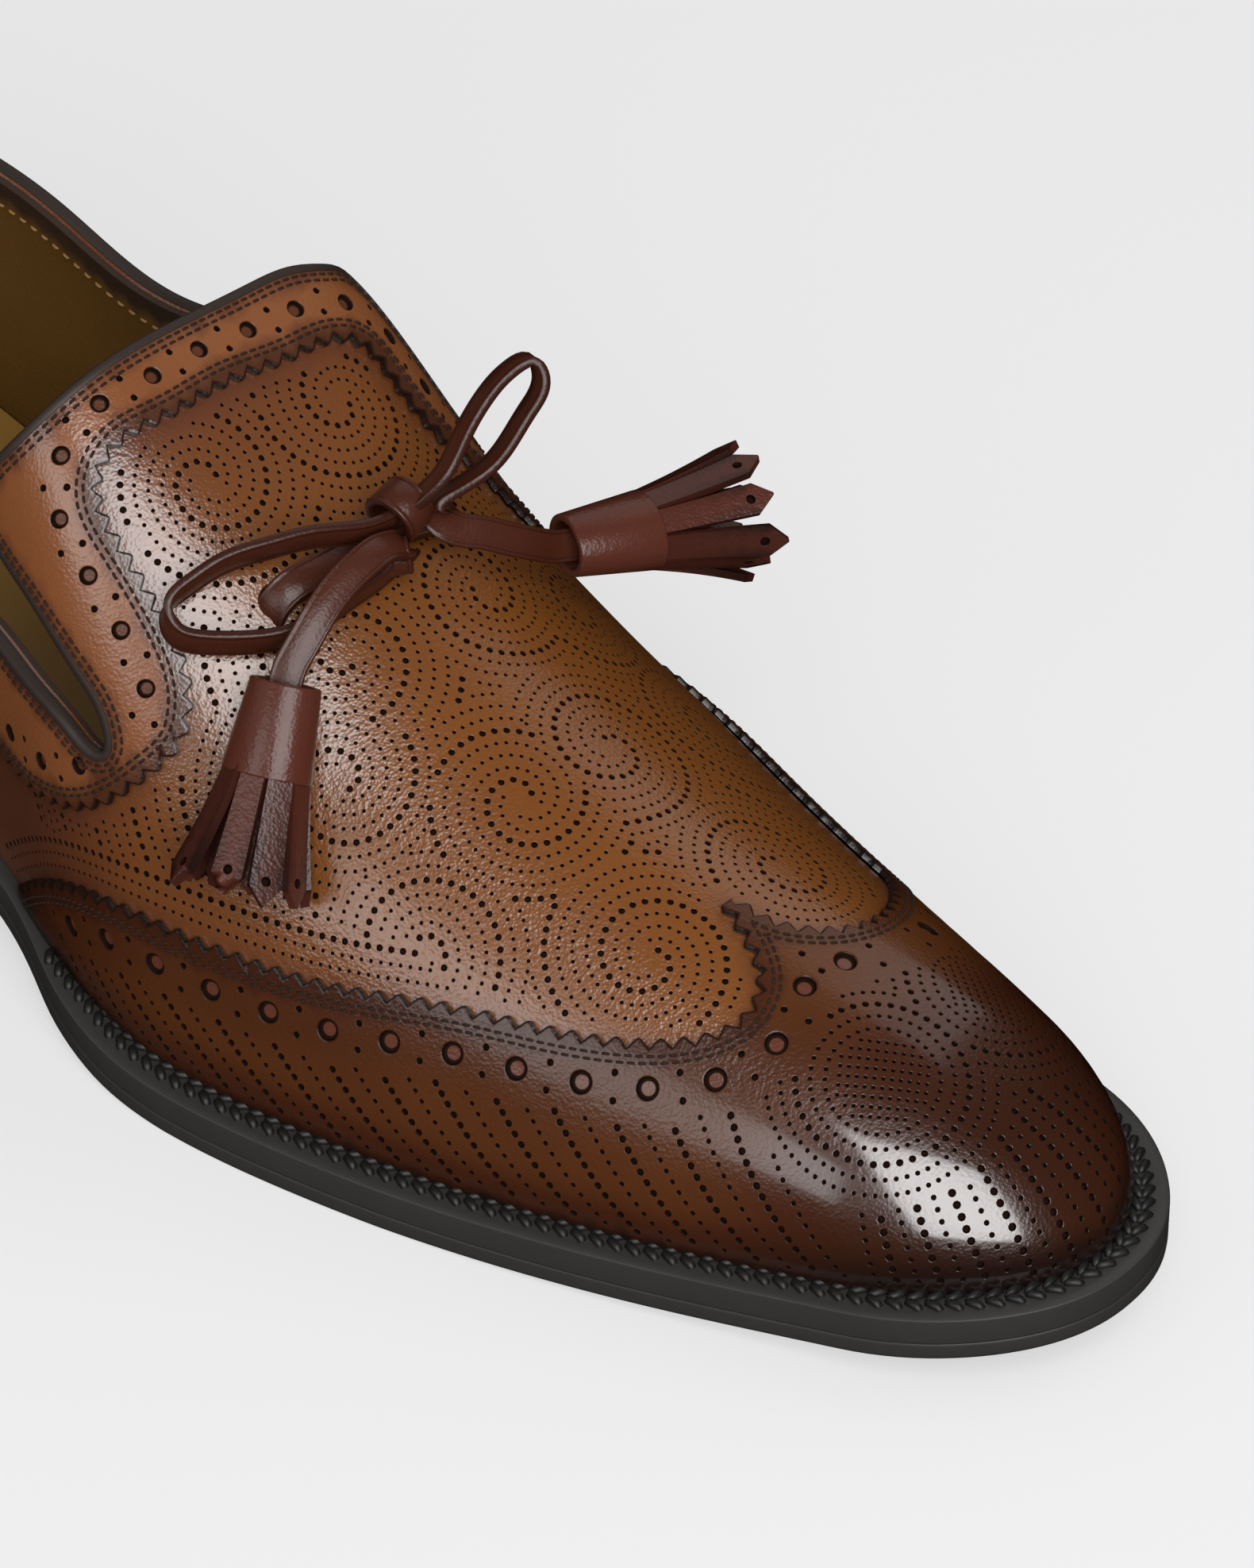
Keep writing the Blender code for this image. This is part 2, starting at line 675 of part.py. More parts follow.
def make_object(name, builder, look):
    """Make an object of a built mesh, with outward faces, smooth shading and its own material.

    Args:
        name: Name of the object.
        builder: The bmesh that holds its shape. It is freed.
        look: Colour and roughness of its material.
    Returns:
        The new object.
    """
    bmesh.ops.remove_doubles(builder, verts=builder.verts, dist=MERGE)
    bmesh.ops.recalc_face_normals(builder, faces=builder.faces)
    mesh = bpy.data.meshes.new(name)
    builder.to_mesh(mesh)
    builder.free()
    mesh.shade_smooth()
    mesh.set_sharp_from_angle(angle=SHARP_ANGLE)
    leather = bpy.data.materials.new(name)
    leather.use_nodes = True
    shader = leather.node_tree.nodes["Principled BSDF"]
    shader.inputs["Base Color"].default_value = (*look.colour, 1.0)
    shader.inputs["Roughness"].default_value = look.roughness
    shader.inputs["Metallic"].default_value = 0.0
    mesh.materials.append(leather)
    made = bpy.data.objects.new(name, mesh)
    bpy.context.scene.collection.objects.link(made)
    return made


def sheet(lattice, faces, low, high):
    """Closed sheet of leather over some faces of the lattice, between two levels off the last."""
    builder = bmesh.new()
    used = sorted({i for face in faces for i in face})
    levels = []
    for level in (high, low):
        points = lattice.points + level * lattice.normals
        levels.append({i: builder.verts.new(points[i]) for i in used})
    top, bottom = levels
    uses = {}
    for face in faces:
        builder.faces.new([top[i] for i in face])
        builder.faces.new([bottom[i] for i in reversed(face)])
        for i, j in zip(face, face[1:] + face[:1]):
            uses.setdefault(frozenset((i, j)), []).append((i, j))
    for sides in uses.values():
        if len(sides) == 1:
            i, j = sides[0]
            builder.faces.new([top[j], top[i], bottom[i], bottom[j]])
    return builder


def slab(low_edges, high_edges):
    """Closed plate between a lower and an upper strip, each a lateral and a medial row of points."""
    builder = bmesh.new()
    rows = [[builder.verts.new(point) for point in row] for row in (*low_edges, *high_edges)]
    low_lateral, low_medial, high_lateral, high_medial = rows
    for left, right in ((low_lateral, low_medial), (high_lateral, high_medial),
                        (low_lateral, high_lateral), (low_medial, high_medial)):
        for i in range(len(left) - 1):
            builder.faces.new([left[i], right[i], right[i + 1], left[i + 1]])
    for end in (0, -1):
        builder.faces.new([low_lateral[end], low_medial[end], high_medial[end], high_lateral[end]])
    bmesh.ops.remove_doubles(builder, verts=builder.verts, dist=MERGE)
    bmesh.ops.dissolve_degenerate(builder, dist=MERGE, edges=builder.edges)
    return builder


def strip(edges, station, height):
    """Lateral and medial row of points of a plate's face."""
    return tuple(place(edge, station, height) for edge in edges)


def build_sole():
    """Outsole, welt, heel block and insole."""
    stations = end_clustered(0, LENGTH, HEEL_ROUND, TOE_ROUND, SOLE_SPACING)
    edges = plate_edges(stations, 0, LENGTH, 0)
    base = keel(stations)
    outsole = slab(strip(edges, stations, base), strip(edges, stations, base + OUTSOLE_THICKNESS))
    make_object("outsole", outsole, SOLE_LOOK)
    base = base + OUTSOLE_THICKNESS + GAP
    welt = slab(strip(edges, stations, base), strip(edges, stations, base + WELT_THICKNESS))
    make_object("welt", welt, WELT_LOOK)

    stations = np.append(stations[stations < HEEL_LENGTH], HEEL_LENGTH)
    edges = plate_edges(stations, 0, LENGTH, 0)
    centre = sum(edges) / 2
    low_edges = tuple(centre + (edge - centre) * HEEL_TAPER for edge in edges)
    low_length = HEEL_LENGTH - HEEL_BREAST_SLOPE - HEEL_UNDERCUT
    low_stations = HEEL_UNDERCUT + stations * low_length / HEEL_LENGTH
    heel = slab(strip(low_edges, low_stations, 0.0), strip(edges, stations, keel(stations) - GAP))
    make_object("heel_block", heel, SOLE_LOOK)

    inset = WALL + INSOLE_CLEARANCE
    first = FEATHER_START + inset
    last = FEATHER_END - inset
    stations = end_clustered(first, last, HEEL_ROUND, TOE_ROUND, SOLE_SPACING)
    edges = plate_edges(stations, first, last, welt_reveal(stations) + inset)
    base = feather_height(stations)
    insole = slab(strip(edges, stations, base), strip(edges, stations, base + INSOLE_THICKNESS))
    make_object("insole", insole, INSOLE_LOOK)


def build_upper():
    """The hollow upper and the two overlays that follow its outer face."""
    lattice = build_lattice()
    make_object("upper", sheet(lattice, lattice.upper, -WALL, 0.0), UPPER_LOOK)
    overlay = (GAP, GAP + OVERLAY_THICKNESS)
    make_object("wing_overlay", sheet(lattice, lattice.wing, *overlay), WING_LOOK)
    make_object("collar_band", sheet(lattice, lattice.band, *overlay), BAND_LOOK)



def unit(vector):
    """Vector of length one along a vector."""
    return vector / np.linalg.norm(vector)


def route_place(point):
    """World place of a route point."""
    return place(point.side * MM, point.station * MM, point.height * MM)


def ribbon(route, across):
    """Closed flat strip of lace along a route, its width lying as near to a direction as it can."""
    path = smooth_path([route_place(point) for point in route], LACE_SPACING)
    builder = bmesh.new()
    rings = []
    for point, tangent in zip(path, np.gradient(path, axis=0)):
        tangent = unit(tangent)
        wide = unit(across - np.dot(across, tangent) * tangent) * LACE_WIDTH / 2
        thick = unit(np.cross(tangent, wide)) * LACE_THICKNESS / 2
        corners = (wide + thick, wide - thick, -wide - thick, thick - wide)
        rings.append([builder.verts.new(point + corner) for corner in corners])
    for ring, following in zip(rings, rings[1:]):
        for i in range(4):
            j = (i + 1) % 4
            builder.faces.new([ring[i], ring[j], following[j], following[i]])
    builder.faces.new(rings[0])
    builder.faces.new(rings[-1])
    return builder


def knot():
    """Closed knot: a small round body where loops and ends meet."""
    builder = bmesh.new()
    bmesh.ops.create_uvsphere(builder, u_segments=KNOT_SEGMENTS, v_segments=KNOT_RINGS, radius=1.0)
    bmesh.ops.scale(builder, vec=KNOT_RADII, verts=builder.verts)
    bmesh.ops.translate(builder, vec=route_place(KNOT), verts=builder.verts)
    return builder


def cap_solid(frame):
    """Closed cap of a tassel: a flattened cone with its small end at the start."""
    builder = bmesh.new()
    rings = []
    turns = np.arange(CAP_SIDES) * 2 * np.pi / CAP_SIDES
    for along, radius in ((0.0, CAP_TOP_RADIUS), (CAP_LENGTH, CAP_END_RADIUS)):
        across = radius * np.cos(turns)
        height = CAP_FLATNESS * radius * np.sin(turns)
        rings.append([builder.verts.new(frame(along, *spot)) for spot in zip(across, height)])
    for i in range(CAP_SIDES):
        j = (i + 1) % CAP_SIDES
        builder.faces.new([rings[0][i], rings[0][j], rings[1][j], rings[1][i]])
    builder.faces.new(rings[0])
    builder.faces.new(rings[1])
    return builder


def strip_solid(frame, turn):
    """Closed fringe strip at a turn round the cap: narrow at its root, with a pointed tip."""
    builder = bmesh.new()
    root_along = CAP_LENGTH - FRINGE_OVERLAP
    side, up = np.cos(turn), np.sin(turn)
    outlines = []
    for lift in (-FRINGE_THICKNESS / 2, FRINGE_THICKNESS / 2):
        outline = []
        for along, half, sign in (
            (root_along, FRINGE_ROOT_WIDTH / 2, -1),
            (TASSEL_LENGTH - FRINGE_POINT, FRINGE_TIP_WIDTH / 2, -1),
            (TASSEL_LENGTH, 0.0, 0),
            (TASSEL_LENGTH - FRINGE_POINT, FRINGE_TIP_WIDTH / 2, 1),
            (root_along, FRINGE_ROOT_WIDTH / 2, 1),
        ):
            share = (along - root_along) / (TASSEL_LENGTH - root_along)
            out = CAP_END_RADIUS * (FRINGE_ROOT_SHARE + (FRINGE_SPREAD - FRINGE_ROOT_SHARE) * share)
            flat = CAP_FLATNESS + (FRINGE_FLATNESS - CAP_FLATNESS) * share
            across = (out + lift) * side - sign * half * up
            height = ((out + lift) * up + sign * half * side) * flat
            outline.append(builder.verts.new(frame(along, across, height)))
        outlines.append(outline)
    count = len(outlines[0])
    for i in range(count):
        j = (i + 1) % count
        builder.faces.new([outlines[0][i], outlines[0][j], outlines[1][j], outlines[1][i]])
    builder.faces.new(outlines[0])
    builder.faces.new(outlines[1])
    return builder


def tassel(name, ends, up):
    """Tassel on a lace end: a cap with fringe strips fused on.

    Args:
        name: Name of the object.
        ends: Route points of the cap's small end and of a place that the fringe points at.
        up: The way the tassel's flat side looks.
    """
    start, goal = (route_place(point) for point in ends)
    axis = unit(goal - start)
    side = unit(np.cross(axis, up))
    top = np.cross(side, axis)

    def frame(along, across, height):
        return start + axis * along + side * across + top * height

    body = make_object(name, cap_solid(frame), LACE_LOOK)
    for k in range(FRINGE_STRIPS):
        turn = 2 * np.pi * (k + 0.5) / FRINGE_STRIPS
        lock = make_object(f"{name}_strip_{k}", strip_solid(frame, turn), LACE_LOOK)
        lock.hide_render = True
        lock.display_type = "WIRE"
        union = body.modifiers.new(lock.name, "BOOLEAN")
        union.operation = "UNION"
        union.solver = "EXACT"
        union.object = lock


def build_bow():
    """Lace across the vamp, the bow with its knot, loops and ends, and the two tassels."""
    strips = (
        ("lace_bar", LACE_BAR, BAR_ACROSS),
        ("bow_loop_lateral", LOOP_LATERAL, LOOP_LATERAL_ACROSS),
        ("bow_loop_medial", LOOP_MEDIAL, LOOP_MEDIAL_ACROSS),
        ("lace_end_lateral", LACE_END_LATERAL, LACE_END_LATERAL_ACROSS),
        ("lace_end_medial", LACE_END_MEDIAL, LACE_END_MEDIAL_ACROSS),
    )
    for name, route, across in strips:
        make_object(name, ribbon(route, np.array(across)), LACE_LOOK)
    make_object("bow_knot", knot(), LACE_LOOK)
    tassel("tassel_lateral", TASSEL_LATERAL, np.array(TASSEL_LATERAL_UP))
    tassel("tassel_medial", TASSEL_MEDIAL, np.array(TASSEL_MEDIAL_UP))


build_sole()
build_upper()
build_bow()
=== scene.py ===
"""Looks of a tassel loafer for a right foot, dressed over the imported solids.

The toe points to -Y, the outer (lateral) side of the foot is -X and the sole stands on z = 0.
Shapes are worked out in millimetres and become metres when a mesh is made. A station is a distance
along the foot from the back of the heel. The leather of the upper lies on the last, which has a flat
chart: the length run along the side of the foot, and the drop from the ridge measured round the
section, lateral drops being negative. Panels are cut in that chart, with real punched holes.
"""
from __future__ import annotations

import json
import logging
import math
from dataclasses import dataclass, field
from enum import Enum
from functools import reduce
from typing import Callable, NamedTuple, Protocol, Sequence

import bmesh
import bpy
import numpy as np
from mathutils import Matrix, Vector
from mathutils.geometry import delaunay_2d_cdt
from mathutils.kdtree import KDTree

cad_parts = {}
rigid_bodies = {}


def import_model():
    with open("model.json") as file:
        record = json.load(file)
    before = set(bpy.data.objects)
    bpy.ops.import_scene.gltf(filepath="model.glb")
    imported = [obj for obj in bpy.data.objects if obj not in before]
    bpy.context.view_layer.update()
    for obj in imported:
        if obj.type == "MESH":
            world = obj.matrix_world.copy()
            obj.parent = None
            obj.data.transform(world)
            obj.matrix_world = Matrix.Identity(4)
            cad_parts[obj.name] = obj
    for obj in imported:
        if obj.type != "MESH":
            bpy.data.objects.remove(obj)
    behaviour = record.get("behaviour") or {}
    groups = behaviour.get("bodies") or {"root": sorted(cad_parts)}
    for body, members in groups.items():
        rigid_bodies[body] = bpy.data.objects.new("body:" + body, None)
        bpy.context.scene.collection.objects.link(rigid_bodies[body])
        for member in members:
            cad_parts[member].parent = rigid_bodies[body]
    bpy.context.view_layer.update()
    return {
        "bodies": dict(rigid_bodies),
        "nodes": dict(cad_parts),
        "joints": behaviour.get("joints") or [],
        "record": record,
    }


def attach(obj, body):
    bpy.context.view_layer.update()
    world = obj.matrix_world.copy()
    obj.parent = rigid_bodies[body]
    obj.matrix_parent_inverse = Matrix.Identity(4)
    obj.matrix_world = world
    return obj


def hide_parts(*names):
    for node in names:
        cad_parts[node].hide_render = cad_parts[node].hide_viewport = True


LOG = logging.getLogger("loafer")
MM = 0.001
BODY = "root"

Array = np.ndarray
Colour = tuple[float, float, float]
Curve = Callable[[Array], Array]


class Side(Enum):
    """Side of the foot, with the sign of its drops."""

    LATERAL = -1
    MEDIAL = 1


class Core(Enum):
    """What fills the middle of a swirl."""

    SPIRAL = "spiral"
    ROWS = "rows"


class PlanRow(NamedTuple):
    """Half widths of the sole at a station, and how far the sole stands out beyond the upper."""

    station: float
    lateral: float
    medial: float
    reveal: float


class KeelRow(NamedTuple):
    """Height of the outsole's underside at a station."""

    station: float
    height: float


class SectionRow(NamedTuple):
    """Arched section of the last: ridge place, squareness of both halves and swelling of the walls."""

    station: float
    ridge_height: float
    ridge_side: float
    lateral_square: float
    medial_square: float
    crown_square: float
    lateral_swell: float
    medial_swell: float


class CollarRow(NamedTuple):
    """Heights of the collar's edge on both sides of the heel, and of the lower edge of its band."""

    station: float
    lateral: float
    medial: float
    lateral_band: float
    medial_band: float


class EdgeRow(NamedTuple):
    """A point of an edge on the upper: drop from the centre line and station, on each side."""

    lateral_drop: float
    lateral: float
    medial_drop: float
    medial: float


class RoutePoint(NamedTuple):
    """A point of the lace: side of the foot, station and height."""

    side: float
    station: float
    height: float


def table(kind: type, rows: Sequence[Sequence[float]]) -> tuple:
    """Rows of numbers as named rows."""
    return tuple(kind(*row) for row in rows)


PLAN = table(PlanRow, (
    (0, 29.0, 26.0, 1.6), (20, 34.0, 30.0, 1.6), (45, 36.0, 31.0, 1.6), (70, 35.0, 29.6, 1.7),
    (92, 33.3, 28.4, 1.8), (112, 33.2, 28.6, 2.0), (127, 34.8, 30.6, 2.2), (141, 38.0, 34.6, 2.4),
    (149, 41.6, 38.2, 3.0), (156, 45.4, 41.6, 4.4), (162, 47.9, 44.6, 5.2), (169, 49.9, 47.8, 5.6),
    (181, 51.0, 51.0, 5.8), (202, 49.2, 50.6, 5.8), (226, 44.5, 45.0, 5.8), (252, 37.4, 36.6, 5.8),
    (280, 28.7, 28.2, 5.8), (306, 21.3, 21.6, 5.8),
))
KEEL = table(KeelRow, (
    (0, 23.5), (40, 23.0), (68, 21.5), (92, 17.5), (115, 11.6), (135, 6.6), (155, 2.6), (172, 0.5),
    (186, -0.1), (210, -0.1), (230, 0.35), (260, 2.0), (285, 4.5), (306, 7.0),
))
SECTIONS = table(SectionRow, (
    (0, 112.0, -2.5, 2.3, 2.3, 2.2, 2.5, 2.5), (50, 110.0, -2.5, 2.3, 2.3, 2.2, 2.5, 2.5),
    (90, 105.0, -1.0, 2.7, 2.7, 2.5, 2.5, 4.5), (118, 99.0, 0.0, 3.4, 3.6, 2.9, 1.5, 3.0),
    (141, 89.5, 0.5, 4.0, 7.6, 3.2, 0.5, 1.5), (151, 83.49, 0.52, 3.57, 5.8, 3.07, 0.43, 1.18),
    (160, 77.5, 0.5, 3.0, 3.6, 2.8, 0.5, 1.0), (170, 70.78, 0.51, 2.51, 2.2, 2.42, 0.57, 0.79),
    (181, 64.0, 0.5, 2.2, 1.88, 2.05, 0.6, 0.4), (192, 58.39, 0.38, 2.07, 1.72, 1.88, 0.58, 0.3),
    (205, 53.0, 0.0, 2.05, 1.6, 1.85, 0.6, 0.3), (222, 47.1, -0.87, 2.07, 1.55, 1.83, 0.8, 0.4),
    (239, 42.0, -1.5, 2.1, 1.68, 1.85, 1.0, 0.9), (262, 36.0, -1.0, 2.2, 2.15, 2.0, 1.0, 1.0),
    (285, 31.5, -0.0, 2.4, 2.5, 2.1, 1.0, 1.0), (300, 29.0, 0.0, 2.5, 2.6, 2.1, 1.0, 1.0),
))
COLLAR = table(CollarRow, (
    (0, 80.0, 80.0, 64.0, 64.0), (25, 74.5, 75.5, 58.5, 59.5), (60, 67.0, 70.0, 51.0, 54.0),
    (95, 61.5, 66.0, 45.0, 50.0), (120, 57.5, 62.0, 39.5, 45.0),
))
TONGUE_EDGE = table(EdgeRow, (
    (0.0, 143.0, 0.0, 143.0), (13.0, 141.8, 12.0, 144.2), (23.0, 140.0, 20.0, 145.2),
    (31.0, 136.8, 25.4, 146.3), (37.0, 134.4, 29.2, 146.8), (41.5, 134.8, 31.4, 148.8),
    (43.6, 138.5, 33.2, 151.9), (44.4, 146.0, 34.7, 154.6), (45.2, 157.0, 36.4, 158.4),
    (46.6, 162.4, 38.2, 162.4), (48.8, 163.6, 40.6, 163.9), (51.0, 162.0, 43.0, 162.3),
    (52.6, 157.0, 45.2, 157.4), (55.0, 149.0, 48.6, 149.4), (56.6, 139.5, 51.6, 139.5),
))
BAND_EDGE = table(EdgeRow, (
    (0.0, 152.0, 0.0, 152.0), (12.0, 150.8, 11.0, 153.8), (22.0, 149.4, 19.4, 154.9),
    (25.4, 150.8, 22.2, 156.4), (27.4, 156.0, 23.4, 160.4), (29.2, 165.0, 24.6, 164.6),
    (32.0, 170.4, 27.2, 167.8), (37.0, 172.4, 32.6, 170.6), (44.0, 170.6, 38.0, 173.8),
    (53.0, 166.2, 44.6, 175.6), (64.4, 157.7, 54.0, 171.6), (72.0, 148.0, 65.0, 156.0),
    (74.6, 139.0, 70.8, 139.5),
))
WING_EDGE = table(EdgeRow, (
    (0.0, 239.3, 0.0, 239.3), (1.2, 242.0, 1.0, 242.4), (3.2, 247.0, 2.0, 246.6), (6.3, 251.2, 5.1, 250.6),
    (11.4, 252.5, 10.4, 253.3), (17.7, 248.8, 17.8, 252.8), (23.6, 241.1, 25.8, 249.1),
    (28.6, 232.4, 32.6, 244.8), (33.4, 223.2, 38.2, 239.6), (38.8, 213.9, 41.4, 231.5),
    (44.7, 204.6, 44.2, 222.0), (50.3, 194.7, 47.2, 211.5), (56.1, 184.3, 53.0, 198.0),
    (63.6, 173.0, 63.0, 181.0), (76.0, 159.6, 76.0, 163.0),
))
CENTRE_DROP = -2.0
WING_TAIL_STATION = 143.0


def spline(places: Sequence[float], values: Sequence[float]) -> Curve:
    """Natural cubic curve through values at rising places.

    Args:
        places: Rising places.
        values: The value at each place.
    Returns:
        A function that gives the curve's value at any array of places.
    """
    x = np.asarray(places, float)
    y = np.asarray(values, float)
    step = np.diff(x)
    rise = np.diff(y) / step
    count = len(x)
    matrix = np.eye(count)
    right = np.zeros(count)
    for i in range(1, count - 1):
        matrix[i, i - 1:i + 2] = step[i - 1], 2 * (step[i - 1] + step[i]), step[i]
        right[i] = 6 * (rise[i] - rise[i - 1])
    bend = np.linalg.solve(matrix, right)

    def value(place: Array) -> Array:
        """Value of the curve at a place.

        Args:
            place: Where to read the curve.
        Returns:
            Value there.
        """
        i = np.clip(np.searchsorted(x, place) - 1, 0, count - 2)
        after = place - x[i]
        before = x[i + 1] - place
        cubic = (bend[i] * before ** 3 + bend[i + 1] * after ** 3) / (6 * step[i])
        start = (y[i] / step[i] - bend[i] * step[i] / 6) * before
        end = (y[i + 1] / step[i] - bend[i + 1] * step[i] / 6) * after
        return cubic + start + end

    return value


def column(rows: Sequence[NamedTuple], name: str) -> Curve:
    """Curve of one column of a table along the foot."""
    return spline([row.station for row in rows], [getattr(row, name) for row in rows])


def rounding(share: Array, squareness: float) -> Array:
    """Factor that rounds an end off: 0 at its tip, 1 from the end of the round stretch on."""
    left = 1 - np.clip(share, 0, 1)
    return (1 - left ** squareness) ** (1 / squareness)


def smoothstep(low: float, high: float, value: Array) -> Array:
    """Soft step from 0 at low to 1 at high."""
    t = np.clip((value - low) / (high - low), 0, 1)
    return t * t * (3 - 2 * t)


def unit(vectors: Array) -> Array:
    """Vectors of length one along the given vectors."""
    size = np.linalg.norm(vectors, axis=-1, keepdims=True)
    return vectors / np.maximum(size, 1e-12)


def path_length(points: Array) -> Array:
    """Length along a line of points, up to each point."""
    return np.concatenate([[0], np.cumsum(np.linalg.norm(np.diff(points, axis=0), axis=1))])


def between(places: Array, known: Array, rows: Array) -> Array:
    """Rows of numbers at places between the known places of the given rows."""
    return np.stack([np.interp(places, known, values) for values in rows.T], axis=-1)


def resample(points: Array, places: Array) -> Array:
    """Points of a line at the given lengths along it."""
    return between(places, path_length(points), points)


def bilinear(grid: Array, row: Array, col: Array) -> Array:
    """Value of a grid at fractional rows and columns, blended between its four nearest nodes.

    Args:
        grid: Values at the nodes.
        row: Fractional rows.
        col: Fractional columns.
    Returns:
        One value for each row and column.
    """
    i = np.minimum(row.astype(int), len(grid) - 2)
    j = np.minimum(col.astype(int), grid.shape[1] - 2)
    a = (row - i)[:, None]
    b = (col - j)[:, None]
    near = grid[i, j] * (1 - b) + grid[i, j + 1] * b
    far = grid[i + 1, j] * (1 - b) + grid[i + 1, j + 1] * b
    return near * (1 - a) + far * a


def smooth_path(points: Sequence, spacing: float) -> Array:
    """Even points along the natural cubic curve through a list of points.

    Args:
        points: Points that the curve goes through.
        spacing: Distance between the points that come back.
    Returns:
        The curve's points, ends included.
    """
    points = np.asarray(points, float)
    run = path_length(points)
    curves = [spline(run, points[:, k]) for k in range(points.shape[1])]
    fine = np.linspace(0, run[-1], 60 * len(points))
    path = np.stack([curve(fine) for curve in curves], axis=-1)
    length = path_length(path)
    count = max(2, int(round(length[-1] / spacing)) + 1)
    return resample(path, np.linspace(0, length[-1], count))


def inside(points: Array, outline: Array) -> Array:
    """Which chart places lie inside a closed outline.

    Args:
        points: Places, one row each.
        outline: Corners of the closed outline.
    Returns:
        True for each place inside.
    """
    crossings = np.zeros(len(points), int)
    for (x0, y0), (x1, y1) in zip(outline, np.roll(outline, -1, axis=0)):
        spans = (y0 > points[:, 1]) != (y1 > points[:, 1])
        if spans.any():
            cross = x0 + (points[spans, 1] - y0) / (y1 - y0) * (x1 - x0)
            crossings[spans] += cross > points[spans, 0]
    return crossings % 2 == 1


def nearest(points: Array, others: Array) -> Array:
    """Distance from each point to the nearest of some others.

    Args:
        points: Points to measure from.
        others: Points to measure to.
    Returns:
        One distance for each point.
    """
    tree = KDTree(len(others))
    for i, other in enumerate(others):
        tree.insert(Vector((*other, 0.0)[:3]), i)
    tree.balance()
    return np.array([tree.find(Vector((*point, 0.0)[:3]))[2] for point in points])


@dataclass(frozen=True)
class SoleSizes:
    """Sizes of the sole and of the line where the upper meets it."""

    length: float = 306.0
    outsole: float = 2.7
    welt: float = 4.0
    gap: float = 0.3
    toe_round: float = 26.0
    toe_square: float = 2.2
    heel_round: float = 36.0
    heel_square: float = 2.4
    toe_reveal: float = 6.0
    heel_reveal: float = 1.6
    heel_length: float = 72.0
    heel_breast_slope: float = 3.0
    heel_taper: float = 0.95
    heel_undercut: float = 2.0

    @property
    def feather_start(self) -> float:
        """Station of the upper's back end."""
        return self.heel_reveal

    @property
    def feather_end(self) -> float:
        """Station of the upper's front end."""
        return self.length - self.toe_reveal


SOLE = SoleSizes()
lateral_half = column(PLAN, "lateral")
medial_half = column(PLAN, "medial")
welt_reveal = column(PLAN, "reveal")
keel_curve = column(KEEL, "height")
PLAN_STATIONS = np.linspace(0, SOLE.length, 613)
CENTRE_SIDE = float(medial_half(PLAN_STATIONS).max() - lateral_half(PLAN_STATIONS).max()) / 2


def keel(station: Array) -> Array:
    """Underside of the outsole: flat on the floor under the ball, sprung at toe and waist."""
    return np.maximum(keel_curve(station), 0)


def end_rounding(station: Array, first: float, last: float) -> Array:
    """How much of the full width a plate from first to last has at a station.

    Args:
        station: Stations.
        first: Back end of the plate.
        last: Front end of the plate.
    Returns:
        Share of the full width at each station.
    """
    tip = rounding((last - station) / SOLE.toe_round, SOLE.toe_square)
    back = rounding((station - first) / SOLE.heel_round, SOLE.heel_square)
    return tip * back


def feather_height(station: Array) -> Array:
    """Height of the upper's lower edge, just clear of the welt."""
    return keel(station) + SOLE.outsole + SOLE.welt + 2 * SOLE.gap


def place(side: Array, station: Array, height: Array) -> Array:
    """World point in millimetres of a side, station and height."""
    side, station, height = np.broadcast_arrays(side, station, height)
    return np.stack([side - CENTRE_SIDE, SOLE.length / 2 - station, height], axis=-1)


def end_clustered(start: float, end: float, rounds: tuple[float, float], spacing: float,
                  steps: int) -> Array:
    """Stations from start to end, closer together on the two round ends.

    Args:
        start: First station.
        end: Last station.
        rounds: Lengths of the round stretch at the start and at the end.
        spacing: Distance between stations elsewhere.
        steps: Number of stations on a round stretch.
    Returns:
        The rising stations.
    """
    grow = np.linspace(0, 1, steps)
    first = start + rounds[0] * grow ** 2
    last = end - rounds[1] * grow[::-1] ** 2
    count = max(2, int(round((last[0] - first[-1]) / spacing)))
    middle = np.linspace(first[-1], last[0], count + 1)[1:-1]
    return np.concatenate([first, middle, last])


class Chart(Protocol):
    """A flat chart of a curved sheet."""

    def lift(self, uv: Array, level: Array | float) -> Array:
        """Points at chart places, at a level off the sheet."""

    def normal(self, uv: Array) -> Array:
        """Outward unit normals at chart places."""

    def stretch(self, uv: Array) -> Array:
        """Change of the point along both chart axes, as matrices of three rows and two columns."""


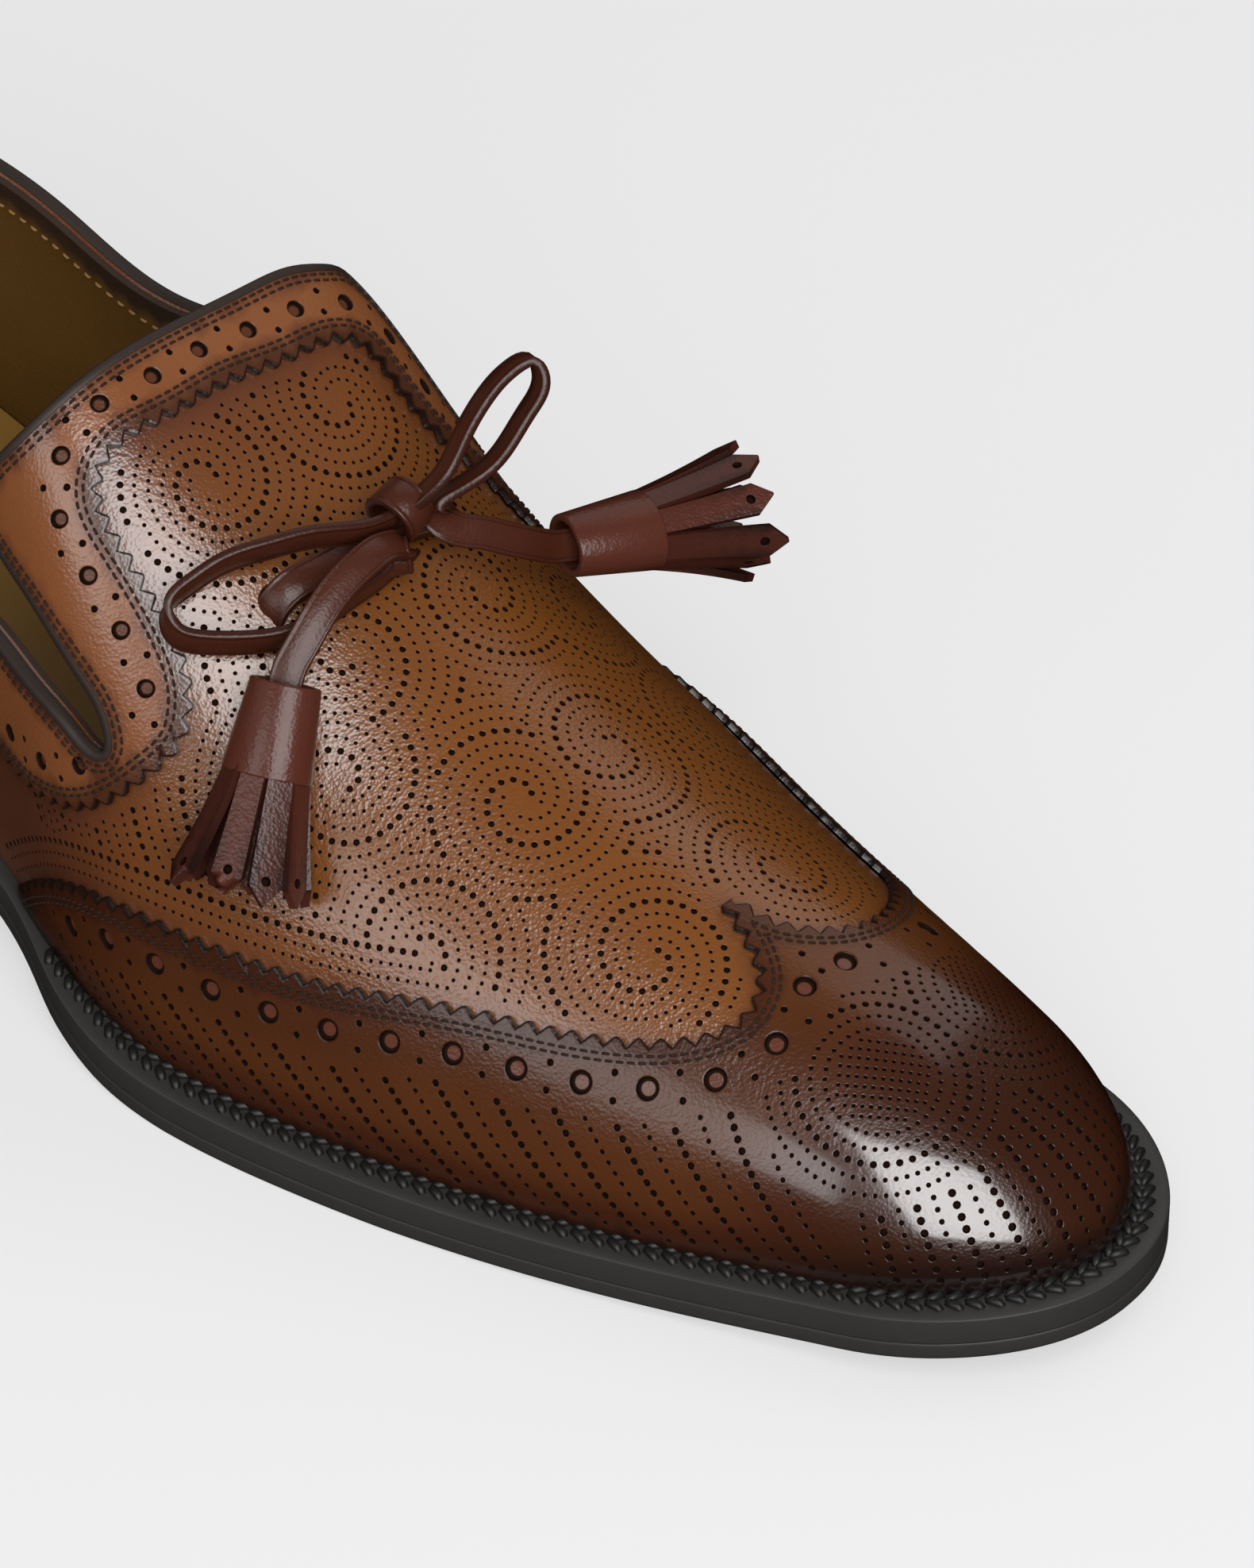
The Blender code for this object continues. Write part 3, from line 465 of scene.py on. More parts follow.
@dataclass
class Last:
    """Form of the foot that the upper lies on, with its flat chart of run and drop."""

    toe_box_length: float = 40.0
    toe_box_square: float = 2.3
    bulge_skew: float = 0.7
    back_swell: float = 1.2
    back_lean: float = 7.0
    back_height: float = 60.0
    back_fade: float = 60.0
    chart_side: float = 0.75
    step: float = 0.4
    angles: Array = field(default_factory=lambda: np.linspace(-np.pi / 2, np.pi / 2, 721))
    shares: Array = field(default_factory=lambda: np.linspace(-1, 1, 361))

    def __post_init__(self) -> None:
        """Work out the fine grid of points and normals that the chart reads."""
        self.columns = {name: column(SECTIONS, name) for name in SectionRow._fields[1:]}
        rounds = (SOLE.heel_round, SOLE.toe_round)
        self.stations = end_clustered(SOLE.feather_start, SOLE.feather_end, rounds, 0.8, 60)
        grid = []
        walls = []
        drops = []
        for station in self.stations:
            points, arc = self.section(station)
            drops.append((arc[0], arc[-1]))
            at = np.where(self.shares < 0, -self.shares * arc[0], self.shares * arc[-1])
            grid.append(between(at, arc, points))
            walls.append(between(arc[0] * self.chart_side, arc, points))
        self.grid = np.array(grid)
        self.drops = np.array(drops)
        self.runs = path_length(np.array(walls))
        across = np.gradient(self.grid, axis=1)
        along = np.gradient(self.grid, axis=0)
        normals = np.cross(across, along)
        size = np.linalg.norm(normals, axis=-1)
        normals[size < 1e-9] = (0, -1, 0)
        normals = unit(normals)
        if normals[len(normals) // 2, len(self.shares) // 2, 2] < 0:
            normals = -normals
        normals[-2:] = normals[-3]
        normals[..., 2] = np.maximum(normals[..., 2], 0)
        self.normals = unit(normals)

    def section(self, station: float) -> tuple[Array, Array]:
        """Arched section at one station, from the lateral feather over the ridge.

        Args:
            station: Distance from the back of the heel.
        Returns:
            The section's points, and each one's distance round the section from the ridge.
        """
        row = {name: float(curve(station)) for name, curve in self.columns.items()}
        share = end_rounding(station, SOLE.feather_start, SOLE.feather_end)
        reveal = welt_reveal(station)
        ridge = row["ridge_side"] * share
        outer = -(lateral_half(station) - reveal) * share
        inner = (medial_half(station) - reveal) * share
        base = feather_height(station)
        rise = rounding((SOLE.feather_end - station) / self.toe_box_length, self.toe_box_square)
        full = (row["ridge_height"] - base) * rise
        is_lateral = self.angles < 0
        square = np.where(is_lateral, row["lateral_square"], row["medial_square"])
        swell = np.where(is_lateral, -row["lateral_swell"], row["medial_swell"]) * share
        reach = np.where(is_lateral, outer - ridge, inner - ridge)
        climb = np.abs(np.cos(self.angles)) ** (2 / row["crown_square"])
        side = ridge + reach * np.abs(np.sin(self.angles)) ** (2 / square)
        side = side + swell * np.sin(np.pi * climb ** self.bulge_skew)
        above = full * climb
        level = above / self.back_height
        fade = np.clip(1 - station / self.back_fade, 0, 1) ** 2
        swelling = self.back_swell * np.sin(np.pi * np.clip(2 * level, 0, 1))
        points = place(side, station - (swelling - self.back_lean * level ** 2) * fade, base + above)
        run = path_length(points)
        return points, run - run[len(self.angles) // 2]

    def run_at(self, station: Array | float) -> Array:
        """Chart length run at a station."""
        return np.interp(station, self.stations, self.runs)

    def station_at(self, run: Array) -> Array:
        """Station at a chart length."""
        return np.interp(run, self.runs, self.stations)

    def feather(self, run: Array) -> tuple[Array, Array]:
        """Drops of the lateral and the medial feather at a chart length."""
        low, high = (np.interp(run, self.runs, self.drops[:, k]) for k in range(2))
        return low, high

    def read(self, grid: Array, uv: Array) -> Array:
        """Value of a grid at chart places, blended between its four nearest nodes.

        Args:
            grid: Values at the chart's nodes.
            uv: Chart places.
        Returns:
            One value for each place.
        """
        low, high = self.feather(uv[:, 0])
        share = uv[:, 1] / np.maximum(np.where(uv[:, 1] < 0, -low, high), 1e-9)
        row = np.interp(uv[:, 0], self.runs, np.arange(len(self.runs)))
        return bilinear(grid, row, (np.clip(share, -1, 1) + 1) / 2 * (len(self.shares) - 1))

    def normal(self, uv: Array) -> Array:
        """Outward unit normals at chart places."""
        return unit(self.read(self.normals, uv))

    def lift(self, uv: Array, level: Array | float = 0.0) -> Array:
        """Points at chart places, at a level off the last."""
        level = np.broadcast_to(np.asarray(level, float), len(uv))
        return self.read(self.grid, uv) + level[:, None] * self.normal(uv)

    def stretch(self, uv: Array) -> Array:
        """Change of the point along both chart axes, as matrices of three rows and two columns.

        Args:
            uv: Chart places.
        Returns:
            One matrix for each place.
        """
        low, high = self.feather(uv[:, 0])
        result = []
        for axis, floor, ceiling in ((0, 0.0, self.runs[-1]), (1, low, high)):
            ahead = uv.copy()
            behind = uv.copy()
            ahead[:, axis] = np.minimum(uv[:, axis] + self.step, ceiling)
            behind[:, axis] = np.maximum(uv[:, axis] - self.step, floor)
            span = np.maximum(ahead[:, axis] - behind[:, axis], 1e-6)
            result.append((self.lift(ahead) - self.lift(behind)) / span[:, None])
        return np.stack(result, axis=-1)

    def ridge_height(self, run: float) -> float:
        """Height of the ridge at a chart length."""
        return float(np.interp(run, self.runs, self.grid[:, len(self.shares) // 2, 2]))

    def drop_at_height(self, run: float, height: float, side: Side) -> float:
        """Drop from the ridge at which a section's wall reaches a height on one side.

        Args:
            run: Chart length of the section.
            height: Height to reach.
            side: Side of the last.
        Returns:
            The drop.
        """
        row = np.interp(run, self.runs, np.arange(len(self.runs)))
        i = min(int(row), len(self.runs) - 2)
        heights = self.grid[i, :, 2] * (1 - row + i) + self.grid[i + 1, :, 2] * (row - i)
        low, high = self.feather(run)
        drops = np.where(self.shares < 0, -self.shares * low, self.shares * high)
        half = self.shares * side.value >= 0
        order = np.argsort(heights[half])
        return float(np.interp(height, heights[half][order], drops[half][order]))


LAST = Last()


def surface_steps(chart: Chart, uv: Array, steps: Array) -> Array:
    """Chart steps that move points of a sheet by the given steps in space.

    Args:
        chart: Chart of the sheet.
        uv: Chart places.
        steps: Steps in space, one row for each place.
    Returns:
        Steps in the chart.
    """
    return np.einsum("nij,nj->ni", np.linalg.pinv(chart.stretch(uv)), steps)


def edge_frame(chart: Chart, path: Array) -> tuple[Array, Array, Array]:
    """Tangents, sideways directions in the sheet and normals along a chart path.

    Args:
        chart: Chart of the sheet.
        path: Chart places along the path.
    Returns:
        Unit tangents, unit vectors to the left of the path, and unit normals.
    """
    points = chart.lift(path, 0.0)
    tangents = unit(np.gradient(points, axis=0))
    normals = chart.normal(path)
    return tangents, unit(np.cross(normals, tangents)), normals


def offset_path(chart: Chart, path: Array, distance: Array | float, keep: float = 0.93) -> Array:
    """Path beside a path on a sheet.

    Args:
        chart: Chart of the sheet.
        path: Chart places along the path.
        distance: How far to the left the new path lies, less than zero for the right.
        keep: Share of the distance that a point keeps from the whole path, or it is left out.
    Returns:
        Chart places along the new path.
    """
    distance = np.broadcast_to(np.asarray(distance, float), len(path))
    _, left, _ = edge_frame(chart, path)
    moved = path + surface_steps(chart, path, left * distance[:, None])
    apart = nearest(chart.lift(moved, 0.0), chart.lift(path, 0.0))
    return moved[apart >= keep * np.abs(distance) - 1e-6]


def spaced(chart: Chart, path: Array, pitch: float, start: float = 0.5) -> Array:
    """Chart places along a path, a pitch apart in space, the first a share of a pitch from its start.

    Args:
        chart: Chart of the path.
        path: Chart path.
        pitch: Distance between places.
        start: Share of a pitch before the first place.
    Returns:
        The places.
    """
    length = path_length(chart.lift(path, 0.0))
    count = max(1, int(round(length[-1] / pitch)))
    places = (np.arange(count) + start) * length[-1] / count
    return between(places, length, path)


def pinked(chart: Chart, path: Array, pitch: float, rise: float) -> Array:
    """Pinked edge along a path: rounded teeth that stand out to the right of it.

    Args:
        chart: Chart of the sheet.
        path: Chart places along the base of the teeth.
        pitch: Width of a tooth.
        rise: Height of a tooth.
    Returns:
        Chart places along the teeth.
    """
    points = chart.lift(path, 0.0)
    length = path_length(points)
    teeth = int(round(length[-1] / pitch))
    shares = np.array((0.0, 0.2, 0.38, 0.5, 0.62, 0.8))
    heights = np.array((0.0, 0.5, 0.9, 1.0, 0.9, 0.5))
    at = np.append((np.arange(teeth)[:, None] + shares).ravel() / teeth, 1.0) * length[-1]
    base = between(at, length, path)
    _, left, _ = edge_frame(chart, base)
    out = -rise * np.append(np.tile(heights, teeth), 0.0)
    return base + surface_steps(chart, base, left * out[:, None])


class Edges:
    """Edges of the upper's panels in the chart, each from its lateral to its medial end."""

    spacing: float = 1.1
    collar_back_rows: int = 6

    def __init__(self) -> None:
        """Lay out rim, band, wing and feather."""
        self.rim = self.throat(TONGUE_EDGE, "lateral", "medial")
        self.band = self.throat(BAND_EDGE, "lateral_band", "medial_band")
        tail = float(LAST.run_at(WING_TAIL_STATION))
        low, high = LAST.feather(tail)
        ends = [(tail, float(low))], [(tail, float(high))]
        self.wing = smooth_path(ends[0] + self.both_sides(WING_EDGE) + ends[1], self.spacing)
        rounds = (SOLE.heel_round, SOLE.toe_round)
        stations = end_clustered(SOLE.feather_start, SOLE.feather_end, rounds, 2.0, 24)
        runs = LAST.run_at(stations)
        low, high = LAST.feather(runs)
        self.feather_lateral = np.stack([runs, low], axis=-1)
        self.feather_medial = np.stack([runs, high], axis=-1)

    @staticmethod
    def chart_row(row: EdgeRow, side: Side) -> tuple[float, float]:
        """Chart place of an edge's row on one side.

        Args:
            row: Row of an edge's table.
            side: Side of the last.
        Returns:
            The chart place.
        """
        if side is Side.LATERAL:
            return float(LAST.run_at(row.lateral)), CENTRE_DROP - row.lateral_drop
        return float(LAST.run_at(row.medial)), CENTRE_DROP + row.medial_drop

    def both_sides(self, rows: Sequence[EdgeRow]) -> list[tuple[float, float]]:
        """Chart places of an edge from its lateral end over its middle row to its medial end."""
        lateral = [self.chart_row(row, Side.LATERAL) for row in reversed(rows)]
        return lateral + [self.chart_row(row, Side.MEDIAL) for row in rows[1:]]

    def collar_edge(self, side: Side, name: str) -> list[tuple[float, float]]:
        """Chart places of a collar edge on one side, closer together round the back of the heel.

        Args:
            side: Side of the last.
            name: Column of the collar's table.
        Returns:
            Chart places of the edge.
        """
        stations = [max(row.station, SOLE.feather_start) for row in COLLAR]
        runs = [float(LAST.run_at(station)) for station in stations]
        heights = [getattr(row, name) for row in COLLAR]
        level = spline([-run for run in runs[:0:-1]] + runs, heights[:0:-1] + heights)
        shares = (np.arange(self.collar_back_rows) / self.collar_back_rows) ** 2
        back = LAST.run_at(stations[0] + (stations[1] - stations[0]) * shares)
        return [(float(run), LAST.drop_at_height(run, level(run), side)) for run in [*back, *runs[1:]]]

    def throat(self, rows: Sequence[EdgeRow], lateral_name: str, medial_name: str) -> Array:
        """Edge from the back of the heel along the lateral collar, over the tongue and back again.

        Args:
            rows: Table of the edge over the tongue.
            lateral_name: Column of the collar's table for the lateral side.
            medial_name: Column of the collar's table for the medial side.
        Returns:
            Chart path of the edge.
        """
        lateral = self.collar_edge(Side.LATERAL, lateral_name)
        medial = self.collar_edge(Side.MEDIAL, medial_name)[::-1]
        return smooth_path(lateral + self.both_sides(rows) + medial, self.spacing)

    def seam(self, drops: Sequence[float], spacing: float = 3.0) -> Array:
        """Places up the back seam between two drops, both left out."""
        count = max(2, int(round(abs(drops[1] - drops[0]) / spacing)))
        return np.stack([np.zeros(count - 1), np.linspace(*drops, count + 1)[1:-1]], axis=-1)

    def upper(self) -> Array:
        """Closed outline of the whole upper.

        Returns:
            Chart places of the outline.
        """
        low = self.feather_lateral[0][1]
        top = self.rim[0][1]
        up = self.seam((low, top))
        back = np.array([(0.0, -low)])
        toe_and_back = np.concatenate([self.feather_lateral, self.feather_medial[-2:0:-1], back])
        return np.concatenate([toe_and_back, up * (1, -1), self.rim[::-1], up[::-1]])

    def wing_panel(self, edge: Array) -> Array:
        """Closed outline of the wing inside a given upper edge.

        Args:
            edge: Upper edge of the wing.
        Returns:
            Chart places of the outline.
        """
        tail = edge[0][0]
        lateral = self.feather_lateral[self.feather_lateral[:, 0] > tail + 0.5]
        medial = self.feather_medial[self.feather_medial[:, 0] > tail + 0.5]
        return np.concatenate([edge[::-1], lateral, medial[-2::-1]])

    def band_panel(self, edge: Array) -> Array:
        """Closed outline of the collar band inside a given lower edge."""
        lateral = self.seam((self.rim[0][1], edge[0][1]))
        return np.concatenate([self.rim, lateral * (1, -1), edge[::-1], lateral[::-1]])


EDGES = Edges()


@dataclass
class Punches:
    """Round holes of one kind: chart places, radii and the form of the cut."""

    places: Array
    radii: Array
    sides: int
    depth: float
    bevel: float
    floor: float = 0.0


@dataclass
class Shell:
    """A mesh in arrays, in millimetres."""

    points: Array
    faces: list
    normals: Array | None = None
    values: dict[str, Array] = field(default_factory=dict)
    chart: Array | None = None

    def joined(self, other: Shell) -> Shell:
        """This shell and another one of its kind as one.

        Args:
            other: The other shell.
        Returns:
            The joined shell.
        """
        first = len(self.points)
        faces = self.faces + [[i + first for i in face] for face in other.faces]
        both = Shell(np.concatenate([self.points, other.points]), faces)
        both.values = {
            key: np.concatenate([value, other.values[key]]) for key, value in self.values.items()}
        if self.normals is not None:
            both.normals = np.concatenate([self.normals, other.normals])
        if self.chart is not None:
            both.chart = np.concatenate([self.chart, other.chart])
        return both

    def make(self, name: str, crease: float | None = None) -> bpy.types.Object:
        """Make an object of the shell.

        Args:
            name: Name of the object.
            crease: Angle in degrees from which an edge is sharp, when the shell has no normals.
        Returns:
            The object, linked to the scene.
        """
        mesh = bpy.data.meshes.new(name)
        mesh.from_pydata((self.points * MM).tolist(), [], self.faces)
        mesh.shade_smooth()
        for key, value in self.values.items():
            attribute = mesh.attributes.new(key, "FLOAT", "POINT")
            attribute.data.foreach_set("value", np.asarray(value, np.float32))
        mesh.update()
        if self.normals is not None:
            mesh.normals_split_custom_set(self.normals.reshape(-1, 3).tolist())
        elif crease is not None:
            mesh.set_sharp_from_angle(angle=math.radians(crease))
        piece = bpy.data.objects.new(name, mesh)
        bpy.context.scene.collection.objects.link(piece)
        return piece


class ShellMaker:
    """Collects the points and triangles of one shell."""

    def __init__(self) -> None:
        """Start with nothing."""
        self.points: list[Array] = []
        self.chart: list[Array] = []
        self.hole: list[Array] = []
        self.floor: list[Array] = []
        self.triangles: list[Array] = []
        self.normals: list[Array] = []
        self.count = 0

    def add_points(self, points: Array, chart: Array, hole: Array | float,
                   floor: Array | float) -> Array:
        """Add points with their chart places and values, and give back their numbers.

        Args:
            points: Points in millimetres.
            chart: Their chart places.
            hole: How far each is in a hole, from 0 to 1; it paints shade into the holes and darkens dyed
                cut edges.
            floor: How far each is on a hole's floor, from 0 to 1.
        Returns:
            Numbers of the points.
        """
        count = len(points)
        self.points.append(points)
        self.chart.append(chart)
        self.hole.append(np.broadcast_to(np.asarray(hole, float), count))
        self.floor.append(np.broadcast_to(np.asarray(floor, float), count))
        self.count += count
        return np.arange(self.count - count, self.count)

    def add_triangles(self, triangles: Array, normals: Array) -> None:
        """Add triangles with a normal for each corner."""
        self.triangles.append(triangles.reshape(-1, 3))
        self.normals.append(normals.reshape(-1, 3, 3))

    def add_rings(self, outer: Array, inner: Array, outer_normals: Array,
                  inner_normals: Array) -> None:
        """Add triangles between pairs of loops, the outer ones round the inner ones.

        Args:
            outer: Point numbers of the outer loops.
            inner: Point numbers of the inner loops.
            outer_normals: Normals at the outer loops.
            inner_normals: Normals at the inner loops.
        """
        outer_next = np.roll(outer, -1, axis=1)
        inner_next = np.roll(inner, -1, axis=1)
        far_outer = np.roll(outer_normals, -1, axis=1)
        far_inner = np.roll(inner_normals, -1, axis=1)
        self.add_triangles(np.stack([outer, outer_next, inner_next], axis=-1),
                           np.stack([outer_normals, far_outer, far_inner], axis=2))
        self.add_triangles(np.stack([outer, inner_next, inner], axis=-1),
                           np.stack([outer_normals, far_inner, inner_normals], axis=2))

    def shell(self, seam: bool) -> Shell:
        """The collected shell, with the points on a seam at run 0 made one where they meet.

        Args:
            seam: Whether the two ends of the sheet meet at run 0.
        Returns:
            The shell.
        """
        points = np.concatenate(self.points)
        chart = np.concatenate(self.chart)
        triangles = np.concatenate(self.triangles)
        if seam:
            number = np.arange(len(points))
            seen: dict[tuple, int] = {}
            for i in np.flatnonzero(chart[:, 0] < 1e-6):
                key = tuple(np.round(points[i], 2))
                number[i] = seen.setdefault(key, i)
            triangles = number[triangles]
        values = {"hole": np.concatenate(self.hole), "floor": np.concatenate(self.floor)}
        values["polish"] = np.ones(len(points))
        return Shell(points, triangles.tolist(), np.concatenate(self.normals), values, chart)


@dataclass
class SheetCutter:
    """Cuts closed sheets of leather from a chart."""

    chart: Chart
    top: float
    bottom: float
    spacing: float = 2.4
    under_spacing: float = 9.0
    merge: float = 1e-6
    droop: float = 0.0
    hem_reach: float = 1.0
    hem_dark: float = 0.9
    hem_tilt: float = 0.5
    # throat and first floor ring: painted shade down the hole wall and at its foot; hem_dark is the dyed
    # black cut edge
    throat_painted_shade: float = 0.95
    throat_drop: float = 0.8
    base_share: float = 0.92
    floor_rings: tuple[tuple[float, float], ...] = ((0.68, 1.0), (0.58, 0.0))

    @staticmethod
    def lattice(outline: Array, others: Array, spacing: float) -> Array:
        """Even places inside an outline, clear of it and of other places.

        Args:
            outline: Closed outline.
            others: Places to keep clear of.
            spacing: Distance between places.
        Returns:
            The places.
        """
        low = outline.min(axis=0)
        high = outline.max(axis=0)
        step = spacing * math.sqrt(3) / 2
        rows = []
        for number, u in enumerate(np.arange(low[0] + step, high[0], step)):
            v = np.arange(low[1] + (spacing / 2 if number % 2 else 0.0), high[1], spacing)
            rows.append(np.stack([np.full(len(v), u), v], axis=-1))
        places = np.concatenate([np.zeros((0, 2)), *rows])
        places = places[inside(places, outline)]
        if len(places) == 0:
            return places
        return places[nearest(places, np.concatenate([outline, others])) > 0.5 * spacing]

    def triangulate(self, loops: Sequence[Array], loose: Array) -> tuple[Array, Array, Array]:
        """Lay triangles between closed loops and loose places.

        Args:
            loops: Closed loops, the outline first.
            loose: Loose places inside.
        Returns:
            Places, triangles, and for each place the number of its loop, or -1.
        """
        places = np.concatenate([*loops, loose])
        edges = []
        first = 0
        for loop in loops:
            index = np.arange(first, first + len(loop))
            edges.append(np.stack([index, np.roll(index, -1)], axis=-1))
            first += len(loop)
        vectors = [Vector(spot) for spot in places]
        made = delaunay_2d_cdt(vectors, np.concatenate(edges).tolist(), [], 0, self.merge)
        loop_of = [np.full(len(loop), number) for number, loop in enumerate(loops)]
        loop_of = np.concatenate([*loop_of, np.full(len(loose), -1)])
        owners = np.array([loop_of[source[0]] if source else -1 for source in made[3]])
        uv = np.array([tuple(spot) for spot in made[0]])
        triangles = np.array([face for face in made[2] if len(face) == 3])
        triangles = triangles[inside(uv[triangles].mean(axis=1), loops[0])]
        same = (owners[triangles] == owners[triangles[:, :1]]).all(axis=1)
        return uv, triangles[~(same & (owners[triangles[:, 0]] > 0))], owners

    def ring(self, places: Array, radii: Array, sides: int) -> Array:
        """Round loops of given radii in space about chart places, in chart places.

        Args:
            places: Middles of the loops.
            radii: Their radii.
            sides: Points to a loop.
        Returns:
            Chart places of the loops.
        """
        jacobian = self.chart.stretch(places)
        first = unit(jacobian[:, :, 0])
        second = jacobian[:, :, 1] - np.einsum("ni,ni->n", jacobian[:, :, 1], first)[:, None] * first
        second = unit(second)
        turns = 2 * np.pi * np.arange(sides) / sides
        turns = turns[None, :, None]
        circle = np.cos(turns) * first[:, None] + np.sin(turns) * second[:, None]
        steps = np.einsum("nij,nkj->nki", np.linalg.pinv(jacobian), circle * radii[:, None, None])
        return places[:, None] + steps

    def outward(self, outline: Array) -> Array:
        """Unit directions out of a closed outline, in the sheet.

        Args:
            outline: Closed outline.
        Returns:
            One direction for each place of the outline.
        """
        points = self.chart.lift(outline, 0.0)
        along = np.roll(points, -1, axis=0) - np.roll(points, 1, axis=0)
        return unit(np.cross(along, self.chart.normal(outline)))

    def cut(self, outline: Array, groups: Sequence[Punches], seam: bool = False,
            hem: Array | None = None) -> Shell:
        """Cut a closed sheet with holes.

        Args:
            outline: Closed outline in the chart.
            groups: Holes, by kind.
            seam: Whether the two ends of the sheet meet at run 0.
            hem: Places just inside the outline from which the sheet's edge droops.
        Returns:
            The sheet as a shell.
        """
        following = np.roll(outline, -1, axis=0)
        if np.sum(outline[:, 0] * following[:, 1] - outline[:, 1] * following[:, 0]) < 0:
            outline = outline[::-1]
        groups = [group for group in groups if len(group.places)]
        rims = [self.ring(group.places, group.radii + group.bevel, group.sides) for group in groups]
        loops = [loop for rim in rims for loop in rim]
        hem = outline[:0] if hem is None else hem[inside(hem, outline)]
        loose = self.lattice(outline, np.concatenate([hem, *loops]), self.spacing)
        uv, faces, owners = self.triangulate([outline, *loops], np.concatenate([hem, loose]))
        maker = ShellMaker()
        edge = np.flatnonzero(owners == 0)
        edge = edge[nearest(uv[edge], hem) < self.hem_reach] if len(hem) else edge[:0]
        level = np.full(len(uv), float(self.top))
        level[edge] -= self.droop
        hole = np.zeros(len(uv))
        hole[edge] = self.hem_dark
        maker.add_points(self.chart.lift(uv, level), uv, hole, 0.0)
        normals = self.chart.normal(uv)
        if len(edge):
            normals[edge] = unit(normals[edge] + self.hem_tilt * self.outward(uv[edge]))
        maker.add_triangles(faces, normals[faces])
        starts = np.full(len(loops) + 1, -1)
        owned = np.flatnonzero(owners > 0)
        starts[owners[owned][::-1]] = owned[::-1]
        number = 1
        for group in groups:
            self.punch(maker, group, starts[number:number + len(group.places)], normals)
            number += len(group.places)
        self.close(maker, outline, uv, owners, seam)
        return maker.shell(seam)

    def punch(self, maker: ShellMaker, group: Punches, starts: Array, normals: Array) -> None:
        """Add bevel, wall and floor of each hole of one kind.

        Args:
            maker: Collects the shell.
            group: The holes.
            starts: Number of each hole's first rim point, or -1 where the rim was lost.
            normals: Normals of the points so far.
        """
        kept = starts >= 0
        places, radii, sides = group.places[kept], group.radii[kept], group.sides
        count = len(places)
        rim = starts[kept][:, None] + np.arange(sides)
        bottom = self.top - group.depth
        throat = self.ring(places, radii, sides).reshape(-1, 2)
        base = self.ring(places, radii * self.base_share, sides).reshape(-1, 2)
        throat_points = self.chart.lift(throat, self.top - self.throat_drop * group.bevel)
        base_points = self.chart.lift(base, bottom)
        middle = self.chart.lift(places, bottom)
        # Painted shade: the throat ring, the foot of the wall, the dark floor ring and part of the band's
        # eye floors take the near-black hole colour.
        second = maker.add_points(throat_points, throat, self.throat_painted_shade, 0.0).reshape(count, sides)
        third = maker.add_points(base_points, base, 1.0, 0.0).reshape(count, sides)
        rings = [third]
        for share, hole in self.floor_rings if group.floor else ():
            spots = self.ring(places, radii * share, sides).reshape(-1, 2)
            points = self.chart.lift(spots, bottom)
            ring = maker.add_points(points, spots, max(hole, 1 - group.floor), (1 - hole) * group.floor)
            rings.append(ring.reshape(count, sides))
        centre = maker.add_points(middle, places, 1.0 - group.floor, group.floor)
        axis = np.repeat(self.chart.normal(places)[:, None], sides, axis=1)
        inward = unit(middle[:, None] - base_points.reshape(count, sides, 3))
        maker.add_rings(rim, second, normals[rim], unit(axis + inward))
        maker.add_rings(second, third, inward, inward)
        for outer, inner in zip(rings, rings[1:]):
            maker.add_rings(outer, inner, axis, axis)
        last = rings[-1]
        centres = np.repeat(centre[:, None], sides, axis=1)
        fan = np.stack([last, np.roll(last, -1, axis=1), centres], axis=-1)
        maker.add_triangles(fan, np.repeat(axis[:, :, None], 3, axis=2))

    def close(self, maker: ShellMaker, outline: Array, uv: Array, owners: Array, seam: bool) -> None:
        """Add the underside and the wall round the sheet's edge.

        Args:
            maker: Collects the shell.
            outline: Closed outline in the chart.
            uv: Chart places of the face.
            owners: Loop of each place of the face.
            seam: Whether the two ends of the sheet meet at run 0.
        """
        loose = self.lattice(outline, np.zeros((0, 2)), self.under_spacing)
        under_uv, faces, under_owners = self.triangulate([outline], loose)
        normals = -self.chart.normal(under_uv)
        numbers = maker.add_points(self.chart.lift(under_uv, self.bottom), under_uv, 0.0, 0.0)
        maker.add_triangles(numbers[faces[:, ::-1]], normals[faces[:, ::-1]])
        edge = np.flatnonzero(owners == 0)
        under = numbers[under_owners == 0]
        if len(edge) != len(under):
            LOG.warning("the two faces of a sheet have edges of %d and %d corners", len(edge), len(under))
            return
        after = np.roll(np.arange(len(edge)), -1)
        use = np.ones(len(edge), bool)
        if seam:
            use = ~((uv[edge, 0] < 1e-6) & (uv[edge[after], 0] < 1e-6))
        points = np.concatenate(maker.points)
        a, b, c, d = edge[use], edge[after][use], under[use], under[after][use]
        wall = unit(np.cross(points[c] - points[a], points[b] - points[a]))
        for corners in ((a, c, b), (b, c, d)):
            maker.add_triangles(np.stack(corners, axis=-1), np.repeat(wall[:, None], 3, axis=1))


def sweep(rings: Array, loop: bool = False) -> Shell:
    """Skin over rings of points, one after another.

    Args:
        rings: Points by ring and place in the ring; a ring runs round clockwise seen along the sweep.
        loop: Whether the last ring joins the first one.
    Returns:
        The skin, with its two ends closed when it is no loop.
    """
    count, sides = rings.shape[:2]
    index = np.arange(count * sides).reshape(count, sides)
    here = index if loop else index[:-1]
    there = np.roll(index, -1, axis=0) if loop else index[1:]
    quads = np.stack([here, np.roll(here, -1, axis=1), np.roll(there, -1, axis=1), there], axis=-1)
    faces = quads.reshape(-1, 4)[:, ::-1].tolist()
    if not loop:
        faces.append(index[0].tolist())
        faces.append(index[-1][::-1].tolist())
    return Shell(rings.reshape(-1, 3), faces)


